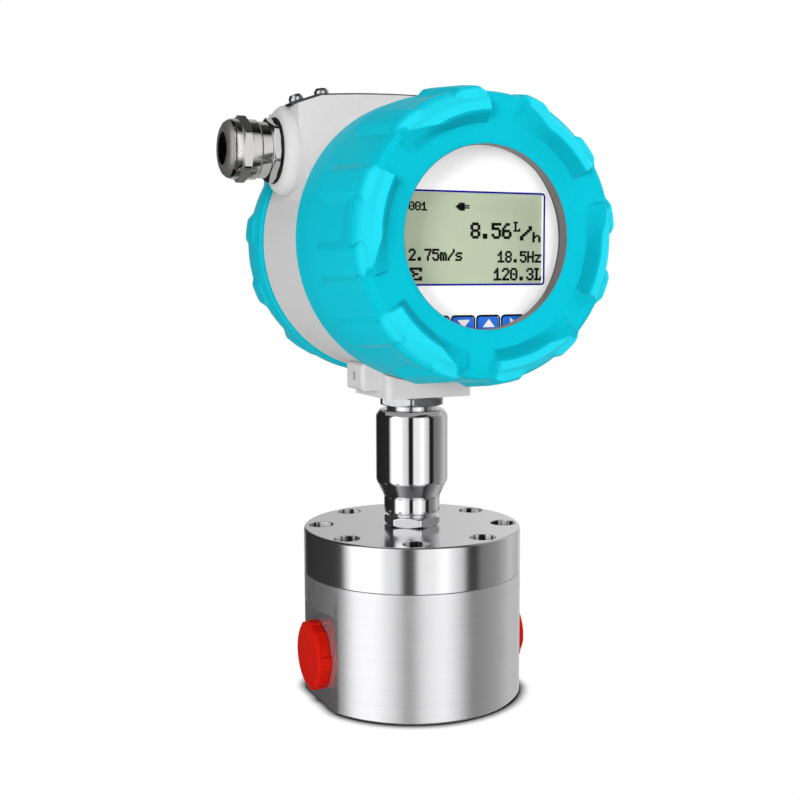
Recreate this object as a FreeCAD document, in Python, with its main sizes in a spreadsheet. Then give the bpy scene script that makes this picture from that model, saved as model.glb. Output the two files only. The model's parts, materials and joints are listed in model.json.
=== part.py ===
import FreeCAD, Part
import Sketcher
import math
import os

# Gear flow meter with a two-compartment transmitter head.
# Frame: origin at the centre of the base, +Z up, display facing -Y, cable gland towards -X.
# Every length is in millimetres. "Station" means distance along the head's own axis from the stem.

DRIVING_SIZES = {
    # Meter body, its cover and their bolts
    "body_radius": 47.5,
    "body_height": 54.1,
    "cover_height": 19.4,
    "edge_break": 0.8,
    "bolt_circle": 40.1,
    "bolt_radius": 3.0,
    "bolt_head_radius": 5.0,
    "bolt_head_height": 6.0,
    "bolt_length": 20.0,
    "bolt_socket": 5.0,
    "counterbore_radius": 5.5,
    "counterbore_depth": 12.0,
    "dowel_radius": 2.5,
    "dowel_length": 15.6,
    "seal_circle": 33.8,
    "seal_section": 1.05,
    "seal_groove_width": 3.2,
    "seal_groove_depth": 2.2,
    # Ports and their plugs
    "port_height": 20.5,
    "port_flat": 43.9,
    "flat_half": 19.5,
    "flat_top": 41.7,
    "flat_corner": 5.0,
    "port_radius": 10.5,
    "port_depth": 14.0,
    "bush_radius": 14.0,
    "bush_recess": 0.3,
    "feed_radius": 5.0,
    "well_offset": 11.0,
    "plug_radius": 10.2,
    "plug_depth": 9.0,
    "plug_wall": 1.5,
    "plug_head": 13.8,
    "plug_face": 13.3,
    "plug_lug": 14.7,
    "plug_lug_width": 5.6,
    "plug_height": 5.7,
    # Measuring gears
    "gear_module": 2.0,
    "gear_teeth": 14,
    "gear_centre": 14.075,
    "gear_tip": 15.6,
    "gear_root": 11.9,
    "gear_height": 22.7,
    "gear_floor": 31.0,
    "gear_bore": 6.0,
    "axle_radius": 4.0,
    "axle_length": 35.6,
    "magnet_radius": 2.0,
    "magnet_height": 3.0,
    "magnet_circle": 8.9,
    # Stem between the meter and the head
    "fitting_flats": 22.0,
    "fitting_hex_height": 4.4,
    "fitting_neck": 10.2,
    "fitting_spigot": 9.9,
    "sleeve_start": 79.1,
    "sleeve_foot": 12.25,
    "sleeve_foot_height": 7.5,
    "sleeve_cone_height": 6.9,
    "sleeve_radius": 15.7,
    "sleeve_height": 45.6,
    "sleeve_chamfer": 2.6,
    "nipple_radius": 10.0,
    "nipple_collar": 11.0,
    "nipple_collar_height": 1.7,
    "nipple_engagement": 10.6,
    "wire_bore": 6.4,
    "lock_nut_flats": 27.0,
    "lock_nut_height": 4.4,
    # Housing of the head
    "head_height": 196.2,
    "barrel_radius": 56.4,
    "barrel_front": 15.0,
    "barrel_rear": 31.0,
    "chamber_radius": 46.0,
    "thread_radius": 50.2,
    "mouth_radius": 53.3,
    "mouth_depth": 2.7,
    "wall_front": 5.5,
    "wall_rear": 0.5,
    "saddle_centre": 8.0,
    "saddle_width": 38.0,
    "saddle_half": 44.5,
    "saddle_shoulder": 57.9,
    "saddle_arch": 472.0,
    "saddle_reach": 54.5,
    "saddle_eave": 54.3,
    "entry_height": 37.3,
    "entry_boss": 18.6,
    "entry_reach": 58.5,
    "entry_round": 5.0,
    "entry_bore": 10.1,
    "neck_half": 20.0,
    "neck_front": 19.0,
    "neck_rear": 18.0,
    "neck_drop": 65.2,
    "neck_round": 3.0,
    "lug_reach": 27.2,
    "lug_half": 9.0,
    "lug_low": 62.2,
    "lug_high": 50.7,
    "set_screw_radius": 2.0,
    "set_screw_drop": 56.2,
    # Name plate on the saddle
    "plate_thickness": 1.2,
    "plate_centre": -0.5,
    "plate_width": 12.0,
    "plate_reach": 55.8,
    "plate_screw_top": 41.4,
    "plate_screw_flap": 51.8,
    "plate_screw_row": -2.5,
    "screw_head": 3.0,
    "screw_head_height": 2.8,
    "screw_shank": 1.5,
    "screw_length": 8.0,
    # Screwed covers
    "cover_rim": 58.0,
    "skirt_radius": 49.9,
    "cover_bore": 46.8,
    "rim_gap": 0.4,
    "front_skirt": 9.0,
    "front_shoulder": 64.0,
    "front_crest": 73.6,
    "window_radius": 34.8,
    "window_station": 68.9,
    "glass_seat": 64.0,
    "rear_skirt": 11.0,
    "rear_shoulder": 58.0,
    "rear_face": 66.5,
    "cover_seal_circle": 51.75,
    "cover_seal_section": 1.1,
    "grip_count": 6,
    "grip_phase": 54.5,
    "rear_grip_phase": -7.5,
    "grip_span": 44.0,
    "grip_lug_span": 12.5,
    "grip_lug_offset": 15.0,
    # Window glass and display module
    "gasket_thickness": 0.8,
    "gasket_bore": 36.5,
    "glass_thickness": 5.0,
    "glass_radius": 46.6,
    "retainer_bore": 43.6,
    "retainer_height": 5.0,
    "bezel_radius": 43.1,
    "bezel_station": 57.3,
    "bezel_face": 1.2,
    "bezel_wall": 1.2,
    "board_radius": 42.6,
    "board_thickness": 1.6,
    "display_board_station": 49.4,
    "main_board_station": 21.6,
    "standoff_radius": 3.0,
    "standoff_offset": 25.5,
    "lcd_width": 62.0,
    "lcd_height": 34.6,
    "lcd_border": 2.0,
    "lcd_thickness": 4.2,
    "key_width": 9.0,
    "key_height": 5.0,
    "key_pitch": 11.0,
    "key_shift": 0.9,
    "key_drop": 32.7,
    "key_depth": 5.6,
    "key_proud": 0.6,
    "key_gap": 0.3,
    # Terminal compartment
    "terminal_width": 56.0,
    "terminal_depth": 12.0,
    "terminal_rise": 22.0,
    "terminal_pitch": 9.0,
    "terminal_screw": 2.4,
    # Cable gland and the blanking plug of the spare entry
    "gland_spigot": 9.95,
    "gland_flats": 24.0,
    "gland_corner": 13.3,
    "gland_collar": 3.5,
    "gland_ring": 11.4,
    "gland_ring_end": 8.0,
    "gland_thread": 9.6,
    "gland_thread_end": 13.4,
    "gland_bore": 6.6,
    "gland_seat": 8.1,
    "gland_nut_radius": 12.1,
    "gland_nut_end": 22.0,
    "gland_nut_bore": 9.9,
    "gland_mouth": 6.5,
    "gland_seal_bore": 5.0,
    "gland_gasket": 0.6,
    "blank_flange": 13.0,
    "blank_height": 4.0,
    "blank_socket": 10.0,
}

SHEET_NAME = "Sizes"
HEX_CORNER = 1.0 / math.sqrt(3.0)
TOWARDS = {
    "+z": FreeCAD.Rotation(),
    "+x": FreeCAD.Rotation(FreeCAD.Vector(0, 1, 0), 90),
    "-x": FreeCAD.Rotation(FreeCAD.Vector(0, 1, 0), -90),
    "+y": FreeCAD.Rotation(FreeCAD.Vector(1, 0, 0), -90),
    "-y": FreeCAD.Rotation(FreeCAD.Vector(1, 0, 0), 90),
}


class Size:
    """A length that carries its number and the sheet expression that gives it."""

    def __init__(self, value, text):
        self.value = float(value)
        self.text = text

    def __add__(self, other):
        other = size(other)
        return Size(self.value + other.value, f"({self.text} + {other.text})")

    def __sub__(self, other):
        other = size(other)
        return Size(self.value - other.value, f"({self.text} - {other.text})")

    def __mul__(self, other):
        other = size(other)
        return Size(self.value * other.value, f"({self.text} * {other.text})")

    def __radd__(self, other):
        return size(other) + self

    def __rsub__(self, other):
        return size(other) - self

    def __rmul__(self, other):
        return size(other) * self

    def __neg__(self):
        return Size(-self.value, f"(0 - {self.text})")


def size(number):
    """A plain number as a Size; a Size stays as it is."""
    if isinstance(number, Size):
        return number
    return Size(number, f"({float(number):.6f})")


class Sheet:
    """The document's spreadsheet, read by alias: sheet.body_radius is a Size."""

    def __init__(self, doc, rows):
        self.table = doc.addObject("Spreadsheet::Sheet", SHEET_NAME)
        self.rows = rows
        for row, (alias, value) in enumerate(rows.items(), start=1):
            self.table.set(f"A{row}", alias)
            self.table.set(f"B{row}", str(value))
            self.table.setAlias(f"B{row}", alias)

    def __getattr__(self, alias):
        return Size(self.rows[alias], f"{SHEET_NAME}.{alias}")


doc = FreeCAD.newDocument("GearFlowMeter")
s = Sheet(doc, DRIVING_SIZES)
doc.recompute()
NODES = {}


# Document helpers

def node(obj, label):
    """Registers an object as a sub-part under its file's name."""
    obj.Label = label
    NODES[label] = obj
    return obj


def bind(obj, prop, length):
    """Ties a property to the sheet expression of a length."""
    obj.setExpression(prop, size(length).text)


def place(obj, at, facing="+z", spin=0.0):
    """Puts an object at a point, with its own Z turned to face a direction."""
    about_z = FreeCAD.Rotation(FreeCAD.Vector(0, 0, 1), spin)
    point = [size(value) for value in at]
    obj.Placement = FreeCAD.Placement(
        FreeCAD.Vector(*[value.value for value in point]), TOWARDS[facing].multiply(about_z)
    )
    for letter, value in zip("xyz", point):
        bind(obj, f"Placement.Base.{letter}", value)
    return obj


def cylinder(name, radius, height, at, facing="+z"):
    obj = doc.addObject("Part::Cylinder", name)
    bind(obj, "Radius", radius)
    bind(obj, "Height", height)
    return place(obj, at, facing)


def box(name, extent, at):
    obj = doc.addObject("Part::Box", name)
    for prop, length in zip(("Length", "Width", "Height"), extent):
        bind(obj, prop, length)
    return place(obj, at)


def ring(name, radius, section, at, facing="+z"):
    obj = doc.addObject("Part::Torus", name)
    bind(obj, "Radius1", radius)
    bind(obj, "Radius2", section)
    return place(obj, at, facing)


def hexagon(name, flats, height, at, facing="+z", spin=0.0):
    obj = doc.addObject("Part::Prism", name)
    obj.Polygon = 6
    bind(obj, "Circumradius", size(flats) * HEX_CORNER)
    bind(obj, "Height", height)
    return place(obj, at, facing, spin)


def fuse(name, shapes):
    obj = doc.addObject("Part::MultiFuse", name)
    obj.Shapes = shapes
    return obj


def cut(name, base, tools):
    obj = doc.addObject("Part::Cut", name)
    obj.Base = base
    obj.Tool = tools[0] if len(tools) == 1 else fuse(f"{name}_tools", tools)
    return obj


def common(name, first, second):
    obj = doc.addObject("Part::Common", name)
    obj.Base = first
    obj.Tool = second
    return obj


def tube(name, outer, inner, height, at, facing="+z"):
    blank = cylinder(f"{name}_blank", outer, height, at, facing)
    bore = cylinder(f"{name}_bore", inner, height, at, facing)
    return cut(name, blank, [bore])


def copies(name, original, placements):
    """One object of separate solids: the original's shape at each placement."""
    doc.recompute()
    group = doc.addObject("Part::Feature", name)
    shapes = []
    for placement in placements:
        shape = original.Shape.copy()
        shape.Placement = placement.multiply(shape.Placement)
        shapes.append(shape)
    group.Shape = Part.makeCompound(shapes)
    return group


def ring_points(radius, count, start=0.0):
    """Count points spread evenly on a circle, as (x, y) numbers."""
    steps = [math.radians(start + 360.0 * step / count) for step in range(count)]
    return [(radius * math.cos(angle), radius * math.sin(angle)) for angle in steps]


# Part design helpers

def origin(body, role):
    return next(item for item in body.Origin.OriginFeatures if item.Role == role)


def new_body(name):
    return doc.addObject("PartDesign::Body", name)


def new_sketch(body, name, plane, lift=None, swing=None):
    """A sketch on one of the body's planes, lifted along its normal or swung about its upright."""
    sketch = body.newObject("Sketcher::SketchObject", name)
    sketch.AttachmentSupport = [(origin(body, plane), "")]
    sketch.MapMode = "FlatFace"
    if swing is not None:
        turn = FreeCAD.Rotation(FreeCAD.Vector(0, 1, 0), size(swing).value)
        sketch.AttachmentOffset = FreeCAD.Placement(FreeCAD.Vector(), turn)
        bind(sketch, "AttachmentOffset.Rotation.Angle", swing)
    if lift is not None:
        bind(sketch, "AttachmentOffset.Base.z", lift)
    return sketch


def pin(sketch, geometry, end, x, y):
    """Holds a point of the sketch at x, y, each tied to the sheet."""
    x, y = size(x), size(y)
    for kind, value, axis in (("DistanceX", x, -2), ("DistanceY", y, -1)):
        if abs(value.value) < 1e-9:
            sketch.addConstraint(Sketcher.Constraint("PointOnObject", geometry, end, axis))
            continue
        index = sketch.addConstraint(
            Sketcher.Constraint(kind, -1, 1, geometry, end, value.value)
        )
        bind(sketch, f"Constraints[{index}]", value)


def arc_between(start, finish, radius):
    """Counter-clockwise arc joining two points; a positive radius bulges left of start to finish."""
    if radius > 0:
        start, finish = finish, start
    chord = finish - start
    across = FreeCAD.Vector(-chord.y, chord.x, 0).normalize()
    fall = math.sqrt(radius * radius - chord.Length ** 2 / 4.0)
    centre = (start + finish) * 0.5 + across * fall
    begin = math.atan2(start.y - centre.y, start.x - centre.x)
    sweep = 2 * math.asin(chord.Length / (2 * abs(radius)))
    whole = Part.Circle(centre, FreeCAD.Vector(0, 0, 1), abs(radius))
    return Part.ArcOfCircle(whole, begin, begin + sweep)


def outline(sketch, corners):
    """Closed outline. A corner is (x, y), or (x, y, radius) where an arc leaves it."""
    points = [FreeCAD.Vector(size(c[0]).value, size(c[1]).value, 0) for c in corners]
    first = sketch.GeometryCount
    count = len(corners)
    ends = []
    for index, corner in enumerate(corners):
        start, finish = points[index], points[(index + 1) % count]
        if len(corner) == 2:
            sketch.addGeometry(Part.LineSegment(start, finish), False)
            ends.append((1, 2))
            continue
        radius = size(corner[2])
        sketch.addGeometry(arc_between(start, finish, radius.value), False)
        ends.append((2, 1) if radius.value > 0 else (1, 2))
        bend = sketch.addConstraint(
            Sketcher.Constraint("Radius", first + index, abs(radius.value))
        )
        bind(sketch, f"Constraints[{bend}]", radius if radius.value > 0 else -radius)
    for index, corner in enumerate(corners):
        following = (index + 1) % count
        sketch.addConstraint(
            Sketcher.Constraint(
                "Coincident", first + index, ends[index][1], first + following, ends[following][0]
            )
        )
        pin(sketch, first + index, ends[index][0], corner[0], corner[1])
    return sketch


def circle(sketch, x, y, radius):
    radius = size(radius)
    centre = FreeCAD.Vector(size(x).value, size(y).value, 0)
    index = sketch.addGeometry(
        Part.Circle(centre, FreeCAD.Vector(0, 0, 1), radius.value), False
    )
    held = sketch.addConstraint(Sketcher.Constraint("Radius", index, radius.value))
    bind(sketch, f"Constraints[{held}]", radius)
    pin(sketch, index, 3, x, y)
    return sketch


def rectangle(sketch, low, high):
    corners = [(low[0], low[1]), (high[0], low[1]), (high[0], high[1]), (low[0], high[1])]
    return outline(sketch, corners)


def extrude(body, kind, sketch, length, both_ways=False, reverse=False):
    """A Pad or a Pocket of a sketch."""
    feature = body.newObject(f"PartDesign::{kind}", f"{sketch.Name}_{kind}")
    feature.Profile = sketch
    bind(feature, "Length", length)
    if both_ways:
        feature.SideType = "Symmetric"
    feature.Reversed = reverse
    return feature


def turn_about(body, kind, sketch, axis, angle=None):
    """A Revolution or a Groove about one of the body's axes, all round or centred on the sketch."""
    feature = body.newObject(f"PartDesign::{kind}", f"{sketch.Name}_{kind}")
    feature.Profile = sketch
    feature.ReferenceAxis = (origin(body, axis), [""])
    feature.Angle = 360.0
    if angle is not None:
        feature.Midplane = True
        bind(feature, "Angle", angle)
    return feature


def polar(body, features, axis, count):
    pattern = body.newObject("PartDesign::PolarPattern", f"{features[0].Name}_polar")
    pattern.Originals = features
    pattern.Axis = (origin(body, axis), [""])
    pattern.Angle = 360.0
    pattern.Occurrences = int(size(count).value)
    body.Tip = pattern
    return pattern


def turned(name, corners, at, facing="+z"):
    """A lathe piece: corners are (radius, height) about the piece's own axis."""
    body = new_body(name)
    sketch = outline(new_sketch(body, f"{name}_profile", "XZ_Plane"), corners)
    turn_about(body, "Revolution", sketch, "Z_Axis")
    return place(body, at, facing)


def round_edges(body, name, radius, wanted):
    """Fillets the edges of the body's present tip that the test picks."""
    doc.recompute()
    base = body.Tip
    names = [f"Edge{i}" for i, edge in enumerate(base.Shape.Edges, start=1) if wanted(edge)]
    feature = body.newObject("PartDesign::Fillet", name)
    feature.Base = (base, names)
    bind(feature, "Radius", radius)
    return feature


def chamfered_hex(name, flats, corner, height, at, facing="+z", spin=0.0):
    """Hexagon whose corners are turned off to a slightly smaller radius, with bevelled ends."""
    blank = hexagon(f"{name}_flats", flats, height, at, facing, spin)
    bevel = (size(corner) - size(flats) * 0.5) * 0.6
    limit = turned(
        f"{name}_limit",
        [(0, 0), (size(corner) - bevel * 2, 0), (corner, bevel),
         (corner, size(height) - bevel), (size(corner) - bevel * 2, height), (0, height)],
        at,
        facing,
    )
    return common(name, blank, limit)


# Meter body with ports, gear chamber, feeds and bolt holes

def make_chamber_body():
    radius, height = s.body_radius, s.body_height
    blank = turned(
        "body_blank",
        [(0, 0), (radius - s.edge_break, 0), (radius, s.edge_break), (radius, height), (0, height)],
        (0, 0, 0),
    )
    above = 5.0
    tools = []
    for side, facing in ((-1, "-x"), (1, "+x")):
        mark = "inlet" if side < 0 else "outlet"
        reach = s.body_radius - s.port_flat + above
        low_x = s.port_flat if side > 0 else -(s.port_flat + reach)
        shoulder = s.flat_top - s.flat_corner
        inner = s.flat_half - s.flat_corner
        tools.append(box(f"{mark}_flat", (reach, s.flat_half * 2, shoulder + 1), (low_x, -s.flat_half, -1)))
        tools.append(box(f"{mark}_flat_head", (reach, inner * 2, s.flat_top + 1), (low_x, -inner, -1)))
        for end, y in (("near", -inner), ("far", inner)):
            corner = (side * s.port_flat, y, shoulder)
            tools.append(cylinder(f"{mark}_flat_{end}", s.flat_corner, reach, corner, facing))
        floor_x = (side * (s.port_flat - s.port_depth), 0, s.port_height)
        seat = s.bush_radius + 0.02
        tools.append(cylinder(f"{mark}_port", seat, s.port_depth + above, floor_x, facing))
        feed_from = (side * (s.well_offset - 1), 0, s.port_height)
        feed_length = s.port_flat - s.port_depth - s.well_offset + 2
        tools.append(cylinder(f"{mark}_feed", s.feed_radius, feed_length, feed_from, facing))
        well = (side * s.well_offset, 0, s.port_height - s.feed_radius)
        tools.append(cylinder(f"{mark}_well", s.feed_radius, height - well[2] + 1, well))
    for side in (-1, 1):
        mark = "front" if side < 0 else "rear"
        centre = side * s.gear_centre
        depth = height - s.gear_floor + 1
        tools.append(cylinder(f"{mark}_gear_pocket", s.gear_tip + 0.3, depth, (0, centre, s.gear_floor)))
        tools.append(cylinder(f"{mark}_axle_seat", s.axle_radius + 0.02, 9, (0, centre, s.gear_floor - 8)))
        tools.append(
            cylinder(f"{mark}_dowel_seat", s.dowel_radius + 0.02, 9, (0, side * s.bolt_circle, height - 8))
        )
    groove_low = height - s.seal_groove_depth
    half = s.seal_groove_width * 0.5
    tools.append(
        tube("seal_groove", s.seal_circle + half, s.seal_circle - half, s.seal_groove_depth + 1,
             (0, 0, groove_low))
    )
    for index, (x, y) in enumerate(ring_points(s.bolt_circle.value, 8, 22.5)):
        tools.append(cylinder(f"tapped_hole_{index}", s.bolt_radius + 0.05, 17, (x, y, height - 16)))
    return node(cut("chamber_body", blank, tools), "chamber_body")


def make_chamber_cover():
    body = new_body("cover_body")
    radius, height = s.body_radius, s.cover_height
    profile = outline(
        new_sketch(body, "cover_profile", "XZ_Plane"),
        [(0, 0), (radius, 0), (radius, height - s.edge_break), (radius - s.edge_break, height), (0, height)],
    )
    turn_about(body, "Revolution", profile, "Z_Axis")
    first = math.radians(22.5)
    hole_x, hole_y = s.bolt_circle * math.cos(first), s.bolt_circle * math.sin(first)
    bore = circle(new_sketch(body, "bolt_bore", "XY_Plane", height), hole_x, hole_y, s.bolt_radius + 0.3)
    seat = circle(new_sketch(body, "bolt_seat", "XY_Plane", height), hole_x, hole_y, s.counterbore_radius)
    bolt_bore = extrude(body, "Pocket", bore, height + 1)
    bolt_seat = extrude(body, "Pocket", seat, s.counterbore_depth)
    polar(body, [bolt_bore, bolt_seat], "Z_Axis", 8)
    thread = circle(new_sketch(body, "stem_thread", "XY_Plane", height), 0, 0, s.fitting_spigot + 0.05)
    extrude(body, "Pocket", thread, 11.5)
    well = circle(new_sketch(body, "sensor_well", "XY_Plane", height), 0, 0, s.wire_bore + 0.2)
    extrude(body, "Pocket", well, height - 4)
    for side in (-1, 1):
        mark = "front" if side < 0 else "rear"
        axle = new_sketch(body, f"{mark}_axle_hole", "XY_Plane")
        circle(axle, 0, side * s.gear_centre, s.axle_radius + 0.02)
        extrude(body, "Pocket", axle, 5, reverse=True)
        dowel = new_sketch(body, f"{mark}_dowel_hole", "XY_Plane")
        circle(dowel, 0, side * s.bolt_circle, s.dowel_radius + 0.02)
        extrude(body, "Pocket", dowel, 8, reverse=True)
    return node(place(body, (0, 0, s.body_height)), "chamber_cover")


def make_cover_bolts():
    head_top = s.bolt_head_height
    blank = turned(
        "bolt_blank",
        [(0, -s.bolt_length), (s.bolt_radius - 0.5, -s.bolt_length), (s.bolt_radius, 0.6 - s.bolt_length),
         (s.bolt_radius, 0), (s.bolt_head_radius, 0), (s.bolt_head_radius, head_top - 0.5),
         (s.bolt_head_radius - 0.5, head_top), (0, head_top)],
        (0, 0, 0),
    )
    socket = hexagon("bolt_hex", s.bolt_socket, 4, (0, 0, head_top - 3))
    bolt = cut("bolt", blank, [socket])
    seat = s.body_height.value + s.cover_height.value - s.counterbore_depth.value
    spots = [
        FreeCAD.Placement(FreeCAD.Vector(x, y, seat), FreeCAD.Rotation())
        for x, y in ring_points(s.bolt_circle.value, 8, 22.5)
    ]
    return node(copies("bolts", bolt, spots), "cover_bolts")


def make_chamber_seal():
    height = s.body_height - s.seal_groove_depth + s.seal_section + 0.03
    return node(ring("o_ring", s.seal_circle, s.seal_section, (0, 0, height)), "chamber_seal")


def make_dowel_pins():
    low = s.body_height - 7.9
    pins = [cylinder(f"dowel_{i}", s.dowel_radius, s.dowel_length, (0, side * s.bolt_circle, low))
            for i, side in enumerate((-1, 1))]
    return node(copies("dowels", fuse("dowel_pair", pins), [FreeCAD.Placement()]), "dowel_pins")


# Measuring gears

def gear_flank(radius, pitch_radius, base_radius, half_angle):
    """Polar angle of the involute flank, from the tooth's centre line, at a radius."""
    pressure = math.acos(base_radius / pitch_radius)
    here = math.acos(min(1.0, base_radius / radius))
    return half_angle + math.tan(pressure) - pressure - (math.tan(here) - here)


def gear_wire():
    """Outline of a spur gear: involute flanks, radial roots, arcs at tip and root."""
    teeth = int(s.gear_teeth.value)
    pitch_radius = s.gear_module.value * teeth / 2.0
    base_radius = pitch_radius * math.cos(math.radians(20.0))
    half_angle = math.pi / (2 * teeth) - 0.05 / pitch_radius
    tip, root = s.gear_tip.value, s.gear_root.value
    steps = [base_radius + (tip - base_radius) * step / 3.0 for step in range(4)]
    angles = [gear_flank(radius, pitch_radius, base_radius, half_angle) for radius in steps]

    def point(radius, angle):
        return FreeCAD.Vector(radius * math.cos(angle), radius * math.sin(angle), 0)

    def spline(points):
        curve = Part.BSplineCurve()
        curve.interpolate(points)
        return curve.toShape()

    edges = []
    pitch = 2 * math.pi / teeth
    for tooth in range(teeth):
        centre = tooth * pitch
        rising = [point(r, centre - a) for r, a in zip(steps, angles)]
        falling = [point(r, centre + a) for r, a in zip(reversed(steps), reversed(angles))]
        foot_in, foot_out = point(root, centre - angles[0]), point(root, centre + angles[0])
        next_foot = point(root, centre + pitch - angles[0])
        valley = point(root, centre + pitch / 2)
        edges.append(Part.makeLine(foot_in, rising[0]))
        edges.append(spline(rising))
        edges.append(Part.Arc(rising[-1], point(tip, centre), falling[0]).toShape())
        edges.append(spline(falling))
        edges.append(Part.makeLine(falling[-1], foot_out))
        edges.append(Part.Arc(foot_out, valley, next_foot).toShape())
    return Part.Wire(edges)


def make_gear(label, side, phase, with_magnets):
    blank = doc.addObject("Part::Feature", f"{label}_teeth")
    blank.Shape = Part.Face(gear_wire()).extrude(FreeCAD.Vector(0, 0, s.gear_height.value))
    turn = FreeCAD.Rotation(FreeCAD.Vector(0, 0, 1), phase)
    low = s.gear_floor + 0.2
    centre = side * s.gear_centre
    blank.Placement = FreeCAD.Placement(FreeCAD.Vector(0, centre.value, low.value), turn)
    tools = [cylinder(f"{label}_bore", s.gear_bore, s.gear_height, (0, centre, low))]
    if with_magnets:
        for index, x in enumerate((-s.magnet_circle, s.magnet_circle)):
            seat = (x, centre, low + s.gear_height - s.magnet_height - 0.1)
            tools.append(cylinder(f"{label}_seat_{index}", s.magnet_radius + 0.02, s.magnet_height + 1, seat))
    return node(cut(label, blank, tools), label)


def make_gear_train():
    half_pitch = 180.0 / s.gear_teeth.value
    make_gear("front_gear", -1, 0.0, True)
    make_gear("rear_gear", 1, half_pitch, False)
    low = s.gear_floor + 0.2
    axles = []
    for side, mark in ((-1, "front"), (1, "rear")):
        centre = side * s.gear_centre
        bush = tube(f"{mark}_bush", s.gear_bore - 0.02, s.axle_radius + 0.04, s.gear_height, (0, centre, low))
        node(bush, f"{mark}_gear_bush")
        axles.append(cylinder(f"{mark}_axle", s.axle_radius, s.axle_length, (0, centre, s.gear_floor - 7.8)))
    node(copies("axles", fuse("axle_pair", axles), [FreeCAD.Placement()]), "gear_axles")
    top = low + s.gear_height - s.magnet_height
    magnets = [
        cylinder(f"magnet_{i}", s.magnet_radius, s.magnet_height, (x, -s.gear_centre, top - 0.05))
        for i, x in enumerate((-s.magnet_circle, s.magnet_circle))
    ]
    node(copies("magnets", fuse("magnet_pair", magnets), [FreeCAD.Placement()]), "gear_magnets")


# Stem

def make_stem():
    top = s.body_height + s.cover_height
    node(
        turned(
            "sensor",
            [(0, -14.9), (s.wire_bore - 0.6, -14.9), (s.wire_bore - 0.6, -4), (s.wire_bore - 2, -3),
             (s.wire_bore - 2, 10), (0, 10)],
            (0, 0, top),
        ),
        "pickup_sensor",
    )
    hex_top = s.fitting_hex_height
    hexed = chamfered_hex(
        "fitting_hex", s.fitting_flats, s.fitting_flats * 0.56, hex_top, (0, 0, top), spin=fitting_turn()
    )
    shaft = turned(
        "fitting_shaft",
        [(0, -11), (s.fitting_spigot, -11), (s.fitting_spigot, 0), (s.fitting_neck, hex_top),
         (s.fitting_neck, s.sleeve_start - top), (9.4, s.sleeve_start - top), (9.4, 16), (0, 16)],
        (0, 0, top),
    )
    bore = cylinder("fitting_bore", s.wire_bore, 40, (0, 0, top - 12))
    node(cut("fitting", fuse("fitting_blank", [hexed, shaft]), [bore]), "stem_fitting")
    foot, cone = s.sleeve_foot_height, s.sleeve_foot_height + s.sleeve_cone_height
    full, chamfer = s.sleeve_height, s.sleeve_chamfer
    node(
        turned(
            "sleeve",
            [(9.45, 0), (s.sleeve_foot - 0.6, 0), (s.sleeve_foot, 0.6), (s.sleeve_foot, foot),
             (s.sleeve_radius, cone), (s.sleeve_radius, full - chamfer), (s.sleeve_radius - 1.8, full),
             (s.nipple_radius + 0.05, full), (s.nipple_radius + 0.05, full - 8), (13, full - 10),
             (13, cone), (9.45, foot + 4)],
            (0, 0, s.sleeve_start),
        ),
        "stem_sleeve",
    )
    collar_low = s.sleeve_start + full
    nut_low = collar_low + s.nipple_collar_height
    neck_low = s.head_height - s.neck_drop
    node(
        turned(
            "nipple",
            [(s.wire_bore, -7.8), (s.nipple_radius, -7.8), (s.nipple_radius, 0), (s.nipple_collar, 0),
             (s.nipple_collar, s.nipple_collar_height), (s.nipple_radius, s.nipple_collar_height),
             (s.nipple_radius, neck_low - collar_low + s.nipple_engagement),
             (s.wire_bore, neck_low - collar_low + s.nipple_engagement)],
            (0, 0, collar_low),
        ),
        "stem_nipple",
    )
    nut = chamfered_hex(
        "nut_blank", s.lock_nut_flats, s.lock_nut_flats * 0.555, s.lock_nut_height, (0, 0, nut_low),
        spin=lock_nut_turn()
    )
    nut_bore = cylinder("nut_bore", s.nipple_radius + 0.05, 8, (0, 0, nut_low - 1))
    node(cut("lock_nut", nut, [nut_bore]), "stem_lock_nut")


def fitting_turn():
    """Turn of the base hexagon about the stem, in degrees: one flat looks front left."""
    return -127.0 + 30.0


def lock_nut_turn():
    """Turn of the lock nut about the stem, in degrees: one corner looks front left."""
    return -115.0


# Port plugs

def make_port_bush(label, side, facing):
    mouth = s.port_depth - s.bush_recess
    bush = turned(
        f"{label}_turning",
        [(s.port_radius, 0.02), (s.bush_radius, 0.02), (s.bush_radius, mouth),
         (s.port_radius + 0.8, mouth), (s.port_radius, mouth - 0.8)],
        (side * (s.port_flat - s.port_depth), 0, s.port_height),
        facing,
    )
    return node(bush, label)


def make_port_plug(label, side, facing):
    body = new_body(f"{label}_body")
    wall = s.plug_radius - s.plug_wall
    profile = outline(
        new_sketch(body, f"{label}_profile", "XZ_Plane"),
        [(wall, -s.plug_depth), (s.plug_radius - 0.5, -s.plug_depth), (s.plug_radius, 1 - s.plug_depth),
         (s.plug_radius, 0.1), (s.plug_head, 0.1), (s.plug_head, s.plug_height - 0.9),
         (s.plug_face, s.plug_height - 0.3), (s.plug_face - 0.8, s.plug_height), (0, s.plug_height + 0.3),
         (0, 2.6), (wall, 2.6)],
    )
    turn_about(body, "Revolution", profile, "Z_Axis")
    half = s.plug_lug_width * 0.5
    lug = rectangle(
        new_sketch(body, f"{label}_lug", "XY_Plane", 0.1), (s.plug_head - 1, -half), (s.plug_lug, half)
    )
    lug_pad = extrude(body, "Pad", lug, s.plug_height - 1.2)
    polar(body, [lug_pad], "Z_Axis", 8)
    return node(place(body, (side * s.port_flat, 0, s.port_height), facing), label)


# Housing of the head

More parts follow.
